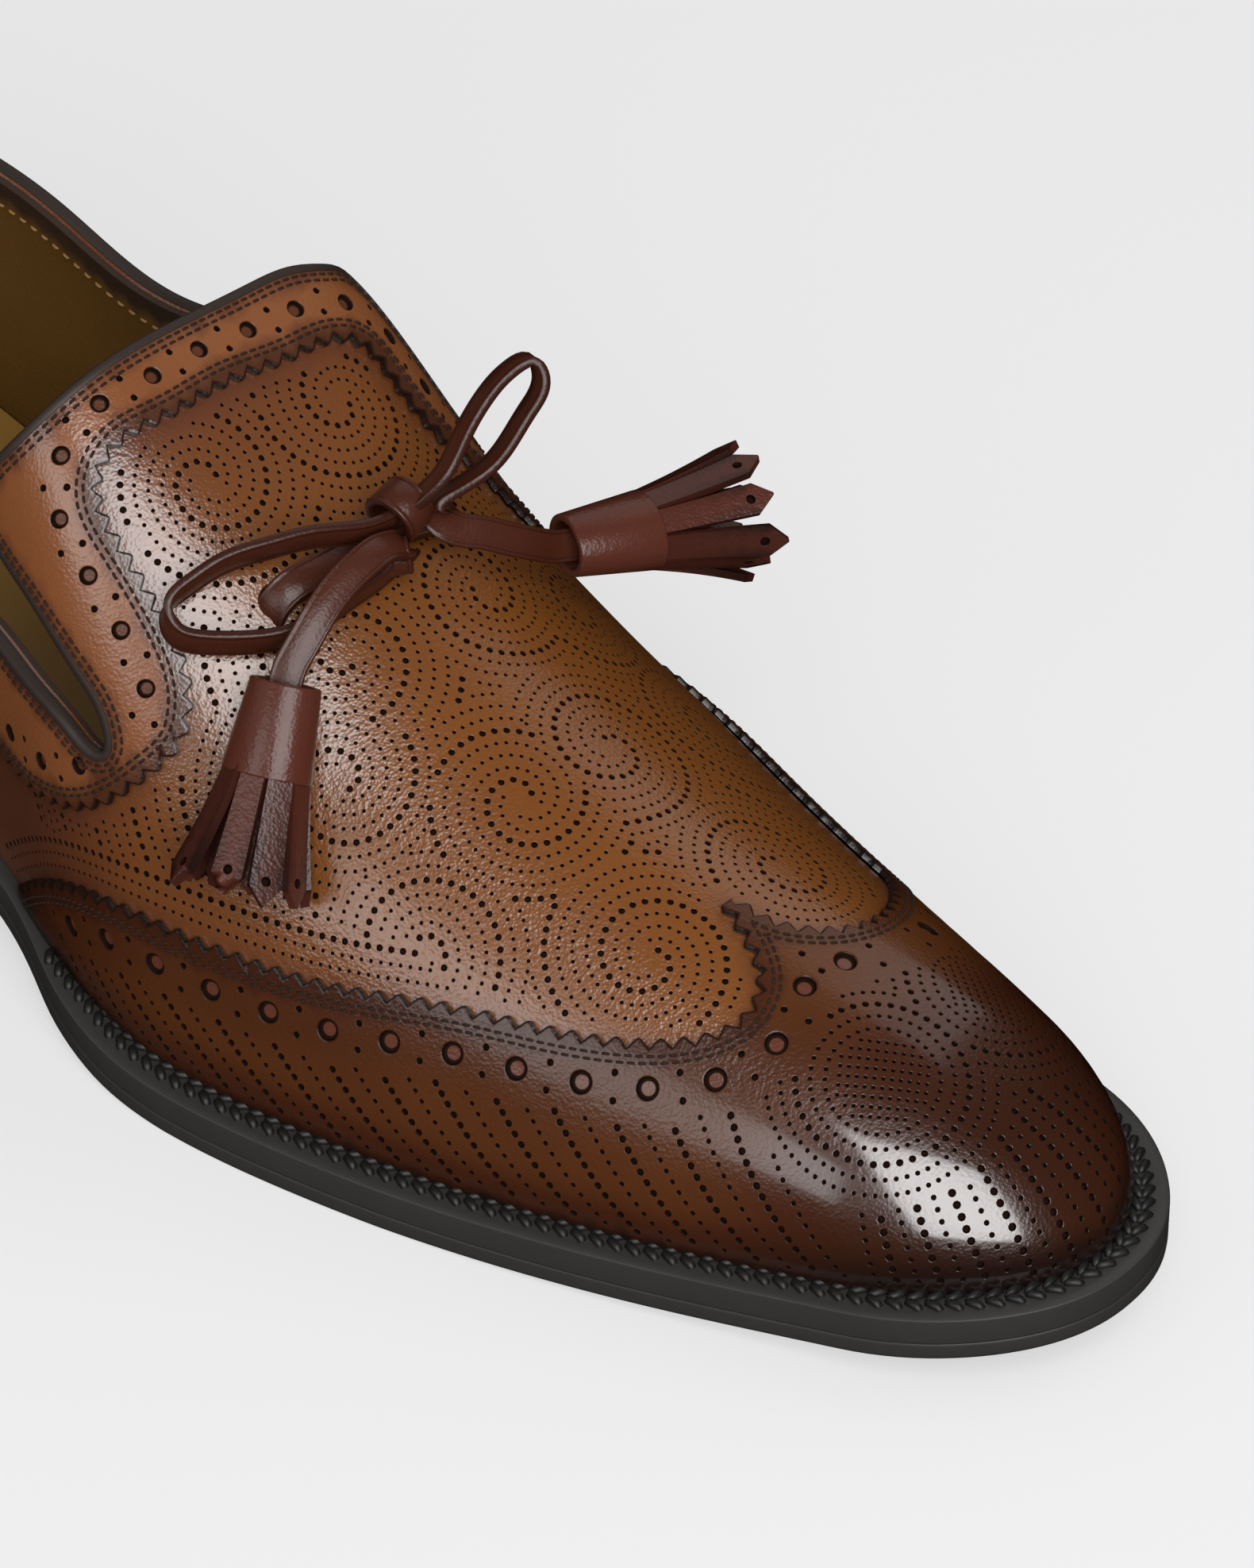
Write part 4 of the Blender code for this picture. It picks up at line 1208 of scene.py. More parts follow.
@dataclass(frozen=True)
class Thread:
    """A stitch: its length, its thickness and how far apart stitches lie."""

    length: float
    radius: float
    pitch: float
    sides: int = 6

    def shell(self, points: Array, tangents: Array, normals: Array) -> Shell:
        """Stitches at points, each a thread that dips into the leather at both ends.

        Args:
            points: Middle of each stitch, on the leather.
            tangents: Unit directions of the row.
            normals: Unit normals of the leather.
        Returns:
            All stitches as one shell.
        """
        along = np.array((-0.5, -0.44, -0.25, 0.25, 0.44, 0.5)) * self.length
        width = np.array((0.3, 0.8, 1.0, 1.0, 0.8, 0.3)) * self.radius
        lift = np.array((-1.0, -0.2, 0.35, 0.35, -0.2, -1.0)) * self.radius
        turns = 2 * np.pi * np.arange(self.sides) / self.sides
        across = np.cross(normals, tangents)
        local = np.zeros((len(along), self.sides, 3))
        local[..., 0] = along[:, None]
        local[..., 1] = width[:, None] * np.cos(turns)
        local[..., 2] = lift[:, None] + width[:, None] * np.sin(turns)
        frames = np.stack([tangents, across, normals], axis=1)
        placed = np.einsum("rsk,nkj->nrsj", local, frames) + points[:, None, None]
        one = sweep(local)
        size = len(along) * self.sides
        faces = [[i + size * n for i in face] for n in range(len(points)) for face in one.faces]
        return Shell(placed.reshape(-1, 3), faces)

    def row(self, chart: Chart, path: Array, level: float) -> Shell:
        """Row of stitches along a chart path at a level of the sheet.

        Args:
            chart: Chart of the sheet.
            path: Chart path.
            level: Level of the sheet's face.
        Returns:
            The stitches as one shell.
        """
        places = spaced(chart, path, self.pitch)
        tangents, _, normals = edge_frame(chart, places)
        return self.shell(chart.lift(places, level), tangents, normals)

    def rows(self, chart: Chart, paths: Sequence[Array], level: float) -> Shell:
        """Rows of stitches along several chart paths as one shell."""
        return reduce(Shell.joined, [self.row(chart, path, level) for path in paths])


@dataclass(frozen=True)
class Swirl:
    """Middle of a dotted swirl on the last, which way it winds and what fills it."""

    station: float
    drop: float
    core: Core = Core.SPIRAL
    turn: float = 0.0
    hand: int = 1

    def place(self) -> Array:
        """Chart place of the middle."""
        return np.array((float(LAST.run_at(self.station)), self.drop))


VAMP_SWIRLS = (
    Swirl(159.4, -13.9, turn=0.4, hand=1),
    Swirl(160.8, 10.7, turn=2.2, hand=-1),
    Swirl(183.7, -14.4, turn=1.0, hand=-1),
    Swirl(187.1, 9.3, turn=3.0, hand=1),
    Swirl(191.8, -27.0, turn=5.2, hand=1),
    Swirl(211.8, -10.9, turn=0.2, hand=1),
    Swirl(213.5, 5.1, turn=4.0, hand=-1),
    Swirl(239.4, 10.7, turn=1.6, hand=1),
    Swirl(237.7, -15.0, turn=2.8, hand=-1),
    Swirl(211.2, -35.5, turn=3.6, hand=-1),
    Swirl(191.8, 27.0, turn=2.0, hand=-1),
    Swirl(211.2, 31.5, turn=0.8, hand=1),
)
TOE_SWIRLS = (
    Swirl(271.5, -9.0, Core.ROWS, 0.6),
    Swirl(270.5, 13.5, Core.ROWS, 2.4),
)


@dataclass
class Dots:
    """Places and radii of punched dots."""

    places: list[Array] = field(default_factory=list)
    radii: list[Array] = field(default_factory=list)

    def add(self, places: Array, radius: float) -> None:
        """Add dots of one size."""
        self.places.append(places)
        self.radii.append(np.full(len(places), radius))

    def take(self, other: Dots) -> None:
        """Take over the dots of another set."""
        self.places += other.places
        self.radii += other.radii

    def thinned(self, taken: Sequence[tuple[Array, float]], clearance: float) -> tuple[Array, Array]:
        """Dots that keep clear of each other and of other holes.

        Args:
            taken: Chart places of other holes, with their radius.
            clearance: Least leather between two holes.
        Returns:
            Chart places and radii of the dots that stay.
        """
        cell = 4.0
        cells: dict[tuple, list[tuple[Array, float]]] = {}

        def near(point: Array) -> list[tuple[Array, float]]:
            """Holes in the cells about a point.

            Args:
                point: Point to look about.
            Returns:
                Point and radius of each hole.
            """
            i, j, k = (int(value // cell) for value in point)
            found = []
            for a in (i - 1, i, i + 1):
                for b in (j - 1, j, j + 1):
                    for c in (k - 1, k, k + 1):
                        found += cells.get((a, b, c), [])
            return found

        def note(point: Array, radius: float) -> None:
            """Keep a hole in its cell."""
            cells.setdefault(tuple(int(value // cell) for value in point), []).append((point, radius))

        for places, radius in taken:
            for point in LAST.lift(places):
                note(point, radius)
        places = np.concatenate([np.zeros((0, 2)), *self.places])
        radii = np.concatenate([np.zeros(0), *self.radii])
        kept = []
        for number, (point, radius) in enumerate(zip(LAST.lift(places), radii)):
            gaps = [np.linalg.norm(point - other) - radius - size for other, size in near(point)]
            if not gaps or min(gaps) >= clearance:
                kept.append(number)
                note(point, radius)
        return places[kept], radii[kept]


@dataclass
class SwirlField:
    """Dots round swirl middles, in spiral arms or in rings; each dot belongs to the nearest middle."""

    swirls: Sequence[Swirl]
    allowed: Callable[[Array], Array]
    reach: float = 52.0
    pitch: float = 1.9
    arms: int = 4
    core_radius: float = 7.4
    dot_pitch: float = 1.38
    small: float = 0.27
    big: float = 0.44
    big_every: int = 3
    rays: int = 240

    def polar(self, swirl: Swirl) -> tuple[Array, float]:
        """Chart places on straight rays from a swirl's middle.

        Args:
            swirl: The swirl.
        Returns:
            Places by step and ray, and the length of a step.
        """
        middle = swirl.place()[None]
        jacobian = LAST.stretch(middle)[0]
        first = unit(jacobian[:, 0])
        second = unit(jacobian[:, 1] - (jacobian[:, 1] @ first) * first)
        turns = 2 * np.pi * np.arange(self.rays + 1) / self.rays
        heading = np.cos(turns)[:, None] * first + np.sin(turns)[:, None] * second
        step = self.pitch / 2
        uv = np.repeat(middle, self.rays + 1, axis=0)
        grid = [uv]
        for _ in range(int(self.reach / step)):
            uv = uv + surface_steps(LAST, uv, heading * step)
            uv[:, 0] = np.clip(uv[:, 0], 0.5, LAST.runs[-1] - 0.5)
            low, high = LAST.feather(uv[:, 0])
            uv[:, 1] = np.clip(uv[:, 1], low + 0.5, high - 0.5)
            normal = LAST.normal(uv)
            heading = unit(heading - np.einsum("ni,ni->n", heading, normal)[:, None] * normal)
            grid.append(uv)
        return np.array(grid), step

    @staticmethod
    def at(grid: Array, step: float, radius: Array, turn: Array) -> Array:
        """Chart places at radii and turns of a polar grid."""
        row = np.clip(np.asarray(radius) / step, 0, len(grid) - 1.001)
        return bilinear(grid, row, np.mod(turn, 2 * np.pi) / (2 * np.pi) * (grid.shape[1] - 1))

    def spiral(self, swirl: Swirl, grid: Array, step: float) -> list[tuple[Array, float]]:
        """Dots on spiral arms that wind out from a swirl's middle, the first arm with big dots.

        Args:
            swirl: The swirl.
            grid: Its polar grid.
            step: Length of a step of the grid.
        Returns:
            Chart places and radius of the dots of each arm.
        """
        rows = []
        for arm in range(self.arms):
            radius = np.linspace(1.0 if arm == 0 else 2.2, self.reach, 1600)
            turns = radius / (self.pitch * self.arms) + arm / self.arms
            turn = swirl.turn + swirl.hand * 2 * np.pi * turns
            path = self.at(grid, step, radius, turn)
            pitch = self.dot_pitch * (1.22 if arm == 0 else 1.0)
            rows.append((spaced(LAST, path, pitch), self.big if arm == 0 else self.small))
        return rows

    def rings(self, swirl: Swirl, grid: Array, step: float, limit: float) -> list[tuple[Array, float]]:
        """Dots in straight rows in a swirl's middle and in rings round it.

        Args:
            swirl: The swirl.
            grid: Its polar grid.
            step: Length of a step of the grid.
            limit: Radius of the last ring.
        Returns:
            Chart places and radius of the dots of each row.
        """
        span = np.arange(-6, 7)
        x, y = (values.ravel() for values in np.meshgrid(span * 1.12, span * 1.3))
        radius = np.hypot(x, y)
        near = radius < self.core_radius - 1.0
        middle = self.at(grid, step, radius[near], np.arctan2(y, x)[near] + swirl.turn)
        rows = [(middle, 0.9 * self.small)]
        radius = self.core_radius
        for ring in range(20):
            if radius > limit - 0.1:
                break
            path = self.at(grid, step, np.full(300, radius), np.linspace(0, 2 * np.pi, 300) + swirl.turn)
            is_big = ring % self.big_every == self.big_every - 1
            pitch = self.dot_pitch * (1.22 if is_big else 1.0)
            rows.append((spaced(LAST, path, pitch), self.big if is_big else self.small))
            radius += self.pitch
        return rows

    def dots(self) -> Dots:
        """All dots of the field.

        Returns:
            The dots.
        """
        found = Dots()
        middles = LAST.lift(np.array([swirl.place() for swirl in self.swirls]))
        for number, swirl in enumerate(self.swirls):
            grid, step = self.polar(swirl)
            if swirl.core is Core.SPIRAL:
                rows = self.spiral(swirl, grid, step)
            else:
                rows = self.rings(swirl, grid, step, self.reach - 2)
            for places, size in rows:
                apart = np.linalg.norm(LAST.lift(places)[:, None] - middles[None], axis=-1)
                places = places[apart.argmin(axis=1) == number]
                if len(places):
                    found.add(places[self.allowed(places)], size)
        return found


@dataclass(frozen=True)
class LeatherFinish:
    """Dyed and burnished leather.

    The colour runs from light over middle to dark with the shade value of the mesh.
    """

    name: str
    light: Colour
    middle: Colour
    dark: Colour
    # hole colour: painted shade inside the punched holes, and the black dye of the teeth's cut edges; floor
    # colour: the leather under the eyes
    hole: Colour = (0.007, 0.0035, 0.0025)
    floor: Colour = (0.052, 0.0155, 0.0085)
    roughness: float = 0.27
    roughness_spread: float = 0.1
    specular: float = 0.5
    coat: float = 0.15
    coat_roughness: float = 0.2
    grain_size: float = 2100.0
    grain_depth: float = 0.16
    mottle: float = 0.14
    mottle_size: float = 60.0

    def material(self) -> bpy.types.Material:
        """Make the material.

        Returns:
            The material.
        """
        material, graph = new_material(self.name)
        value = {}
        for key in ("shade", "hole", "floor", "polish"):
            value[key] = graph.add("ShaderNodeAttribute", attribute_name=key).outputs["Fac"]
        burnish = graph.group(burnish_group(), {
            "Shade": value["shade"], "Light": (*self.light, 1), "Middle": (*self.middle, 1),
            "Dark": (*self.dark, 1), "Mottle": self.mottle, "Scale": self.mottle_size})
        punched = graph.group(punched_group(), {
            "Colour": burnish.outputs["Colour"], "Hole": value["hole"], "Floor": value["floor"],
            "Hole Colour": (*self.hole, 1), "Floor Colour": (*self.floor, 1), "Specular": self.specular,
            "Coat": graph.math("MULTIPLY", value["polish"], self.coat)})
        surface = graph.add("ShaderNodeBsdfPrincipled", {
            **grained(graph, self), "Base Color": punched.outputs["Colour"],
            "Coat Weight": punched.outputs["Coat"], "Coat Roughness": self.coat_roughness,
            "Coat IOR": COAT_IOR, "Specular IOR Level": punched.outputs["Specular"]})
        graph.finish(surface)
        return material


@dataclass(frozen=True)
class PlainFinish:
    """One colour with a fine grain: thread, sole edge, lining or floor."""

    name: str
    colour: Colour
    roughness: float = 0.5
    roughness_spread: float = 0.1
    specular: float = 0.4
    grain_size: float = 700.0
    grain_depth: float = 0.08
    mottle: float = 0.2
    mottle_size: float = 120.0
    spread: tuple[float, float] = (0.55, 1.45)
    glow: float = 0.0

    def material(self) -> bpy.types.Material:
        """Make the material.

        Returns:
            The material.
        """
        material, graph = new_material(self.name)
        dark, light = (tuple(share * c for c in self.colour) for share in self.spread)
        burnish = graph.group(burnish_group(), {
            "Shade": 0.5, "Light": (*light, 1), "Middle": (*self.colour, 1), "Dark": (*dark, 1),
            "Mottle": self.mottle, "Scale": self.mottle_size})
        surface = graph.add("ShaderNodeBsdfPrincipled", {
            **grained(graph, self), "Base Color": burnish.outputs["Colour"],
            "Specular IOR Level": self.specular, "Emission Color": (1, 1, 1, 1),
            "Emission Strength": self.glow})
        graph.finish(surface)
        return material


class Graph:
    """Adds and links the nodes of one node tree."""

    def __init__(self, tree: bpy.types.NodeTree, clear: bool = False) -> None:
        """Work on a tree, emptied first if asked.

        Args:
            tree: Node tree to work on.
            clear: Whether to empty it first.
        """
        self.tree = tree
        if clear:
            tree.nodes.clear()

    def add(self, kind: str, inputs: dict | None = None, **settings: object) -> bpy.types.Node:
        """Add a node.

        Args:
            kind: Type of the node.
            inputs: Values or output sockets for its inputs, by name or number.
            settings: Its settings.
        Returns:
            The node.
        """
        node = self.tree.nodes.new(kind)
        for key, value in settings.items():
            setattr(node, key, value)
        for key, value in (inputs or {}).items():
            if isinstance(value, bpy.types.NodeSocket):
                self.tree.links.new(value, node.inputs[key])
            else:
                node.inputs[key].default_value = value
        return node

    def group(self, tree: bpy.types.NodeTree, inputs: dict) -> bpy.types.Node:
        """Add a node that uses a group."""
        return self.add("ShaderNodeGroup", inputs, node_tree=tree)

    def math(self, operation: str, *values: object) -> bpy.types.NodeSocket:
        """Add a calculation and give its result."""
        return self.add("ShaderNodeMath", dict(enumerate(values)), operation=operation).outputs[0]

    def mix(self, share: object, first: object, second: object) -> bpy.types.NodeSocket:
        """Add a mix of two colours and give its result."""
        sockets = {0: share, 6: first, 7: second}
        return self.add("ShaderNodeMix", sockets, data_type="RGBA", clamp_factor=True).outputs[2]

    def finish(self, surface: bpy.types.Node) -> None:
        """Send a surface to the material's output."""
        self.add("ShaderNodeOutputMaterial", {"Surface": surface.outputs[0]})


def new_material(name: str) -> tuple[bpy.types.Material, Graph]:
    """Start an empty material.

    Args:
        name: Name of the material.
    Returns:
        The material and its graph.
    """
    material = bpy.data.materials.new(name)
    material.use_nodes = True
    return material, Graph(material.node_tree, clear=True)


def grained(graph: Graph, finish: LeatherFinish | PlainFinish) -> dict[str, bpy.types.NodeSocket]:
    """Add the grain of a finish.

    Args:
        graph: Graph of the material.
        finish: Finish that gives the grain's measures.
    Returns:
        Roughness and normal for the surface.
    """
    grain = graph.group(grain_group(), {
        "Scale": finish.grain_size, "Roughness": finish.roughness, "Spread": finish.roughness_spread})
    bump = graph.add("ShaderNodeBump", {
        "Strength": finish.grain_depth, "Distance": BUMP_DISTANCE, "Height": grain.outputs["Height"]})
    return {"Roughness": grain.outputs["Roughness"], "Normal": bump.outputs["Normal"]}


def new_group(
        name: str, inputs: dict[str, str], outputs: dict[str, str]) -> tuple[Graph, dict, bpy.types.Node]:
    """Start a node group with named sockets.

    Args:
        name: Name of the group.
        inputs: Socket type of each input.
        outputs: Socket type of each output.
    Returns:
        Its graph, the sockets that bring its inputs in, and its output node.
    """
    tree = bpy.data.node_groups.new(name, "ShaderNodeTree")
    for in_out, sockets in (("INPUT", inputs), ("OUTPUT", outputs)):
        for key, kind in sockets.items():
            tree.interface.new_socket(key, in_out=in_out, socket_type=kind)
    graph = Graph(tree)
    source = graph.add("NodeGroupInput")
    return graph, {key: source.outputs[key] for key in inputs}, graph.add("NodeGroupOutput")


FLOAT = "NodeSocketFloat"
COLOUR = "NodeSocketColor"
BUMP_DISTANCE = 0.0004
COAT_IOR = 1.5


def burnish_group() -> bpy.types.NodeTree:
    """Group that mixes three dye colours by a shade value and soft clouds.

    Returns:
        Node tree of the group.
    """
    if "Burnish" in bpy.data.node_groups:
        return bpy.data.node_groups["Burnish"]
    inputs = {
        "Shade": FLOAT, "Light": COLOUR, "Middle": COLOUR, "Dark": COLOUR, "Mottle": FLOAT, "Scale": FLOAT}
    graph, source, target = new_group("Burnish", inputs, {"Colour": COLOUR})
    where = graph.add("ShaderNodeTexCoord").outputs["Object"]
    cloud = graph.add("ShaderNodeTexNoise", {"Vector": where, "Scale": source["Scale"], "Detail": 4.0})
    speck = graph.math("SUBTRACT", cloud.outputs[0], 0.5)
    shade = graph.math("MULTIPLY_ADD", speck, source["Mottle"], source["Shade"])
    low = graph.math("MULTIPLY", shade, 2.0)
    high = graph.math("SUBTRACT", low, 1.0)
    light_half = graph.mix(low, source["Light"], source["Middle"])
    colour = graph.mix(high, light_half, source["Dark"])
    graph.tree.links.new(colour, target.inputs["Colour"])
    return graph.tree


def punched_group() -> bpy.types.NodeTree:
    """Group that darkens holes with painted shade and also darkens the dyed cut edges, dulls both, and
    colours the floors of the holes.

    Returns:
        Node tree of the group.
    """
    if "Punched" in bpy.data.node_groups:
        return bpy.data.node_groups["Punched"]
    outputs = {"Colour": COLOUR, "Specular": FLOAT, "Coat": FLOAT}
    inputs = {
        "Colour": COLOUR, "Hole": FLOAT, "Floor": FLOAT, "Hole Colour": COLOUR, "Floor Colour": COLOUR,
        "Specular": FLOAT, "Coat": FLOAT}
    graph, source, target = new_group("Punched", inputs, outputs)
    # painted shade: the hole value mixes the near-black hole colour into the holes
    cut = graph.mix(source["Hole"], source["Colour"], source["Hole Colour"])
    colour = graph.mix(source["Floor"], cut, source["Floor Colour"])
    graph.tree.links.new(colour, target.inputs["Colour"])
    gloss = graph.math("SUBTRACT", 1.0, source["Hole"])
    for key in ("Specular", "Coat"):
        graph.tree.links.new(graph.math("MULTIPLY", gloss, source[key]), target.inputs[key])
    return graph.tree


def grain_group() -> bpy.types.NodeTree:
    """Group with the fine grain of leather as a height, and an uneven roughness.

    Returns:
        Node tree of the group.
    """
    if "Grain" in bpy.data.node_groups:
        return bpy.data.node_groups["Grain"]
    inputs = {"Scale": FLOAT, "Roughness": FLOAT, "Spread": FLOAT}
    graph, source, target = new_group("Grain", inputs, {"Height": FLOAT, "Roughness": FLOAT})
    where = graph.add("ShaderNodeTexCoord").outputs["Object"]
    cells = graph.add("ShaderNodeTexVoronoi", {"Vector": where, "Scale": source["Scale"]})
    fine = graph.math("MULTIPLY", source["Scale"], 0.55)
    cloud = graph.add("ShaderNodeTexNoise", {"Vector": where, "Scale": fine, "Detail": 3.0})
    height = graph.math("MULTIPLY_ADD", cells.outputs["Distance"], 0.6, cloud.outputs[0])
    patch = graph.add("ShaderNodeTexNoise", {"Vector": where, "Scale": 90.0, "Detail": 3.0})
    centred = graph.math("SUBTRACT", patch.outputs[0], 0.5)
    rough = graph.math("MULTIPLY_ADD", centred, source["Spread"], source["Roughness"])
    graph.tree.links.new(height, target.inputs["Height"])
    graph.tree.links.new(rough, target.inputs["Roughness"])
    return graph.tree


UPPER_FINISH = LeatherFinish(
    "upper_dye", (0.092, 0.030, 0.0044), (0.051, 0.0155, 0.0066), (0.008, 0.003, 0.002),
    roughness=0.24, specular=0.52, grain_depth=0.2)
WING_FINISH = LeatherFinish(
    "wing_dye", (0.060, 0.019, 0.004), (0.025, 0.0066, 0.0023), (0.004, 0.002, 0.0016),
    roughness=0.26, specular=0.3, coat=1.0, coat_roughness=0.125, grain_depth=0.16)
BAND_FINISH = LeatherFinish("band_dye", (0.124, 0.041, 0.012), (0.056, 0.017, 0.006), (0.007, 0.003, 0.002))
LACE_FINISH = LeatherFinish(
    "lace_dye", (0.044, 0.0115, 0.0055), (0.025, 0.006, 0.003), (0.006, 0.0025, 0.002),
    roughness=0.32, specular=0.22, coat=0.0, grain_depth=0.12)
TASSEL_FINISH = LeatherFinish(
    "tassel_dye", (0.052, 0.014, 0.008), (0.026, 0.007, 0.0045), (0.005, 0.0025, 0.002),
    roughness=0.25, specular=0.2, coat=0.0, grain_depth=0.14)
LINING_FINISH = LeatherFinish(
    "lining_dye", (0.120, 0.062, 0.012), (0.060, 0.027, 0.004), (0.016, 0.008, 0.005),
    roughness=0.55, specular=0.2, coat=0.0, grain_depth=0.12)
BINDING_FINISH = PlainFinish("binding_dye", (0.012, 0.007, 0.005), roughness=0.55, specular=0.3)
THREAD_FINISH = PlainFinish("upper_thread", (0.012, 0.006, 0.004), roughness=0.75, specular=0.1)
LINING_THREAD_FINISH = PlainFinish("lining_thread", (0.130, 0.070, 0.022), roughness=0.7, specular=0.2)
WELT_THREAD_FINISH = PlainFinish("welt_thread", (0.004, 0.0036, 0.0034), roughness=0.5, specular=0.25)
SOLE_FINISH = PlainFinish(
    "sole_edge", (0.016, 0.015, 0.014), roughness=0.46, specular=0.3, grain_size=400.0)
FLOOR_FINISH = PlainFinish(
    "studio_floor", (0.13, 0.13, 0.13), roughness=0.9, specular=0.0, grain_depth=0.0, mottle=0.0, glow=0.57)


class SubAssembly:
    """A group of pieces that is built, then dressed."""

    def __post_init__(self) -> None:
        """Start without pieces."""
        self.pieces: dict[str, bpy.types.Object] = {}

    def dress_piece(self, name: str, finish: LeatherFinish | PlainFinish, slot: str, *nodes: str) -> None:
        """Give a piece its finish, and tell the frame where it belongs.

        Args:
            name: Name of the piece.
            finish: Its finish.
            slot: Material slot of the record; not used.
            nodes: Solids that the piece stands for.
        """
        piece = self.pieces[name]
        known = bpy.data.materials.get(finish.name)
        piece.data.materials.clear()
        piece.data.materials.append(known or finish.material())
        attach(piece, BODY)
        if nodes:
            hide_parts(*nodes)
        LOG.info("%s: %d faces", name, len(piece.data.polygons))


def edge_distance(uv: Array, path: Array) -> Array:
    """Distance on the last from chart places to a chart path."""
    return nearest(LAST.lift(uv), LAST.lift(path))


class Burnish(NamedTuple):
    """A darkening of given weight that grows between two measures."""

    weight: float
    start: float
    end: float

    def at(self, measure: Array) -> Array:
        """Darkening at a measure."""
        return self.weight * smoothstep(self.start, self.end, measure)


@dataclass
class UpperLeather(SubAssembly):
    """The whole upper with its dotted vamp and tongue, and its lining."""

    thickness: float = 1.0
    lining: float = 0.95
    lining_stitch: float = 5.0
    lining_shade: float = 0.5
    topline: Burnish = Burnish(0.5, 4.2, 3.4)
    base_shade: float = 0.12
    wing_burnish: Burnish = Burnish(0.18, 3.0, 0.8)
    band_burnish: Burnish = Burnish(0.16, 5.0, 1.0)
    rear_burnish: Burnish = Burnish(0.26, 178, 140)
    low_burnish: Burnish = Burnish(0.22, 0.45, 0.9)
    thread: Thread = Thread(1.3, 0.24, 2.2)
    dot_depth: float = 0.6
    margin: float = 2.3
    rear_limit: float = 128.0
    border_drop: float = 36.0
    border_width: float = 7.5
    border_rows: tuple[tuple[float, float, float], ...] = (
        (2.4, 1.4, 0.27), (4.3, 1.4, 0.27), (6.2, 1.65, 0.44))
    dot_gap: float = 0.3
    big_dot: float = 0.35
    eyelets: tuple[tuple[float, float], ...] = ((173.6, -17.0), (178.6, 14.6))
    eyelet_radius: float = 2.3
    eyelet_clearance: float = 2.6
    lining_gap: float = 0.05
    lining_spacing: float = 2.6
    thread_lift: float = 0.02

    def __post_init__(self) -> None:
        """Start without pieces."""
        super().__post_init__()
        self.outline = EDGES.upper()
        self.wing = EDGES.wing_panel(EDGES.wing)
        self.band = EDGES.band_panel(EDGES.band)

    def allowed(self, uv: Array) -> Array:
        """Where the upper may have dots: on the vamp and the tongue, clear of wing and band.

        Args:
            uv: Chart places.
        Returns:
            Whether each place may have a dot.
        """
        free = inside(uv, self.outline) & ~inside(uv, self.wing) & ~inside(uv, self.band)
        free &= uv[:, 0] > LAST.run_at(self.rear_limit)
        low_side = np.abs(uv[:, 1]) > self.border_drop
        margin = np.where(low_side, self.border_width, self.margin)
        free[free] &= edge_distance(uv[free], EDGES.wing) > margin[free]
        free[free] &= edge_distance(uv[free], EDGES.band) > self.margin
        return free

    def border(self) -> Dots:
        """Rows of dots beside the wing, low on both sides.

        Returns:
            The dots.
        """
        found = Dots()
        for offset, pitch, size in self.border_rows:
            places = spaced(LAST, offset_path(LAST, EDGES.wing, offset), pitch)
            places = places[np.abs(places[:, 1]) > self.border_drop]
            places = places[inside(places, self.outline) & ~inside(places, self.band)]
            found.add(places[edge_distance(places, EDGES.band) > self.margin], size)
        return found

    def shade(self, uv: Array) -> Array:
        """Burnish of the upper: golden vamp, darker beside edges and towards the rear.

        Args:
            uv: Chart places.
        Returns:
            Shade of each place, from 0 to 1.
        """
        value = self.base_shade + self.wing_burnish.at(edge_distance(uv, EDGES.wing))
        value += self.band_burnish.at(edge_distance(uv, EDGES.band))
        value += self.rear_burnish.at(LAST.station_at(uv[:, 0]))
        low, high = LAST.feather(uv[:, 0])
        side = uv[:, 1] / np.where(uv[:, 1] < 0, np.minimum(low, -1e-3), np.maximum(high, 1e-3))
        return np.clip(value + self.low_burnish.at(side), 0, 1)

    def build(self) -> None:
        """Cut the upper and its lining."""
        field_dots = self.border()
        field_dots.take(SwirlField(VAMP_SWIRLS, self.allowed).dots())
        eyes = np.array([(float(LAST.run_at(station)), drop) for station, drop in self.eyelets])
        places, radii = field_dots.thinned([(eyes, self.eyelet_clearance)], self.dot_gap)
        big = radii > self.big_dot
        groups = [
            Punches(eyes, np.full(len(eyes), self.eyelet_radius), sides=18, depth=0.9, bevel=0.3),
            Punches(places[big], radii[big], sides=8, depth=self.dot_depth, bevel=0.09),
            Punches(places[~big], radii[~big], sides=6, depth=self.dot_depth, bevel=0.07),
        ]
        LOG.info("upper: %d dots", len(places))
        shell = SheetCutter(LAST, 0.0, -self.thickness, spacing=3.0).cut(self.outline, groups, seam=True)
        shell.values["shade"] = self.shade(shell.chart)
        self.pieces["upper_leather"] = shell.make("upper_leather")
        bottom = -self.thickness - self.lining
        cutter = SheetCutter(
            LAST, -self.thickness - self.lining_gap, bottom, self.lining_spacing, self.lining_spacing)
        shell = cutter.cut(self.outline, [], seam=True)
        shell.values["shade"] = self.lining_shade + self.topline.at(edge_distance(shell.chart, EDGES.rim))
        self.pieces["lining"] = shell.make("lining")
        places = spaced(LAST, offset_path(LAST, EDGES.rim, -self.lining_stitch), self.thread.pitch)
        tangents, _, normals = edge_frame(LAST, places)
        seam = self.thread.shell(LAST.lift(places, bottom - self.thread_lift), tangents, -normals)
        self.pieces["lining_stitches"] = seam.make("lining_stitches")

    def dress(self) -> None:
        """Dye the upper and its lining."""
        self.dress_piece("upper_leather", UPPER_FINISH, "upper_leather", "upper")
        self.dress_piece("lining", LINING_FINISH, "upper_leather")
        self.dress_piece("lining_stitches", LINING_THREAD_FINISH, "upper_leather")


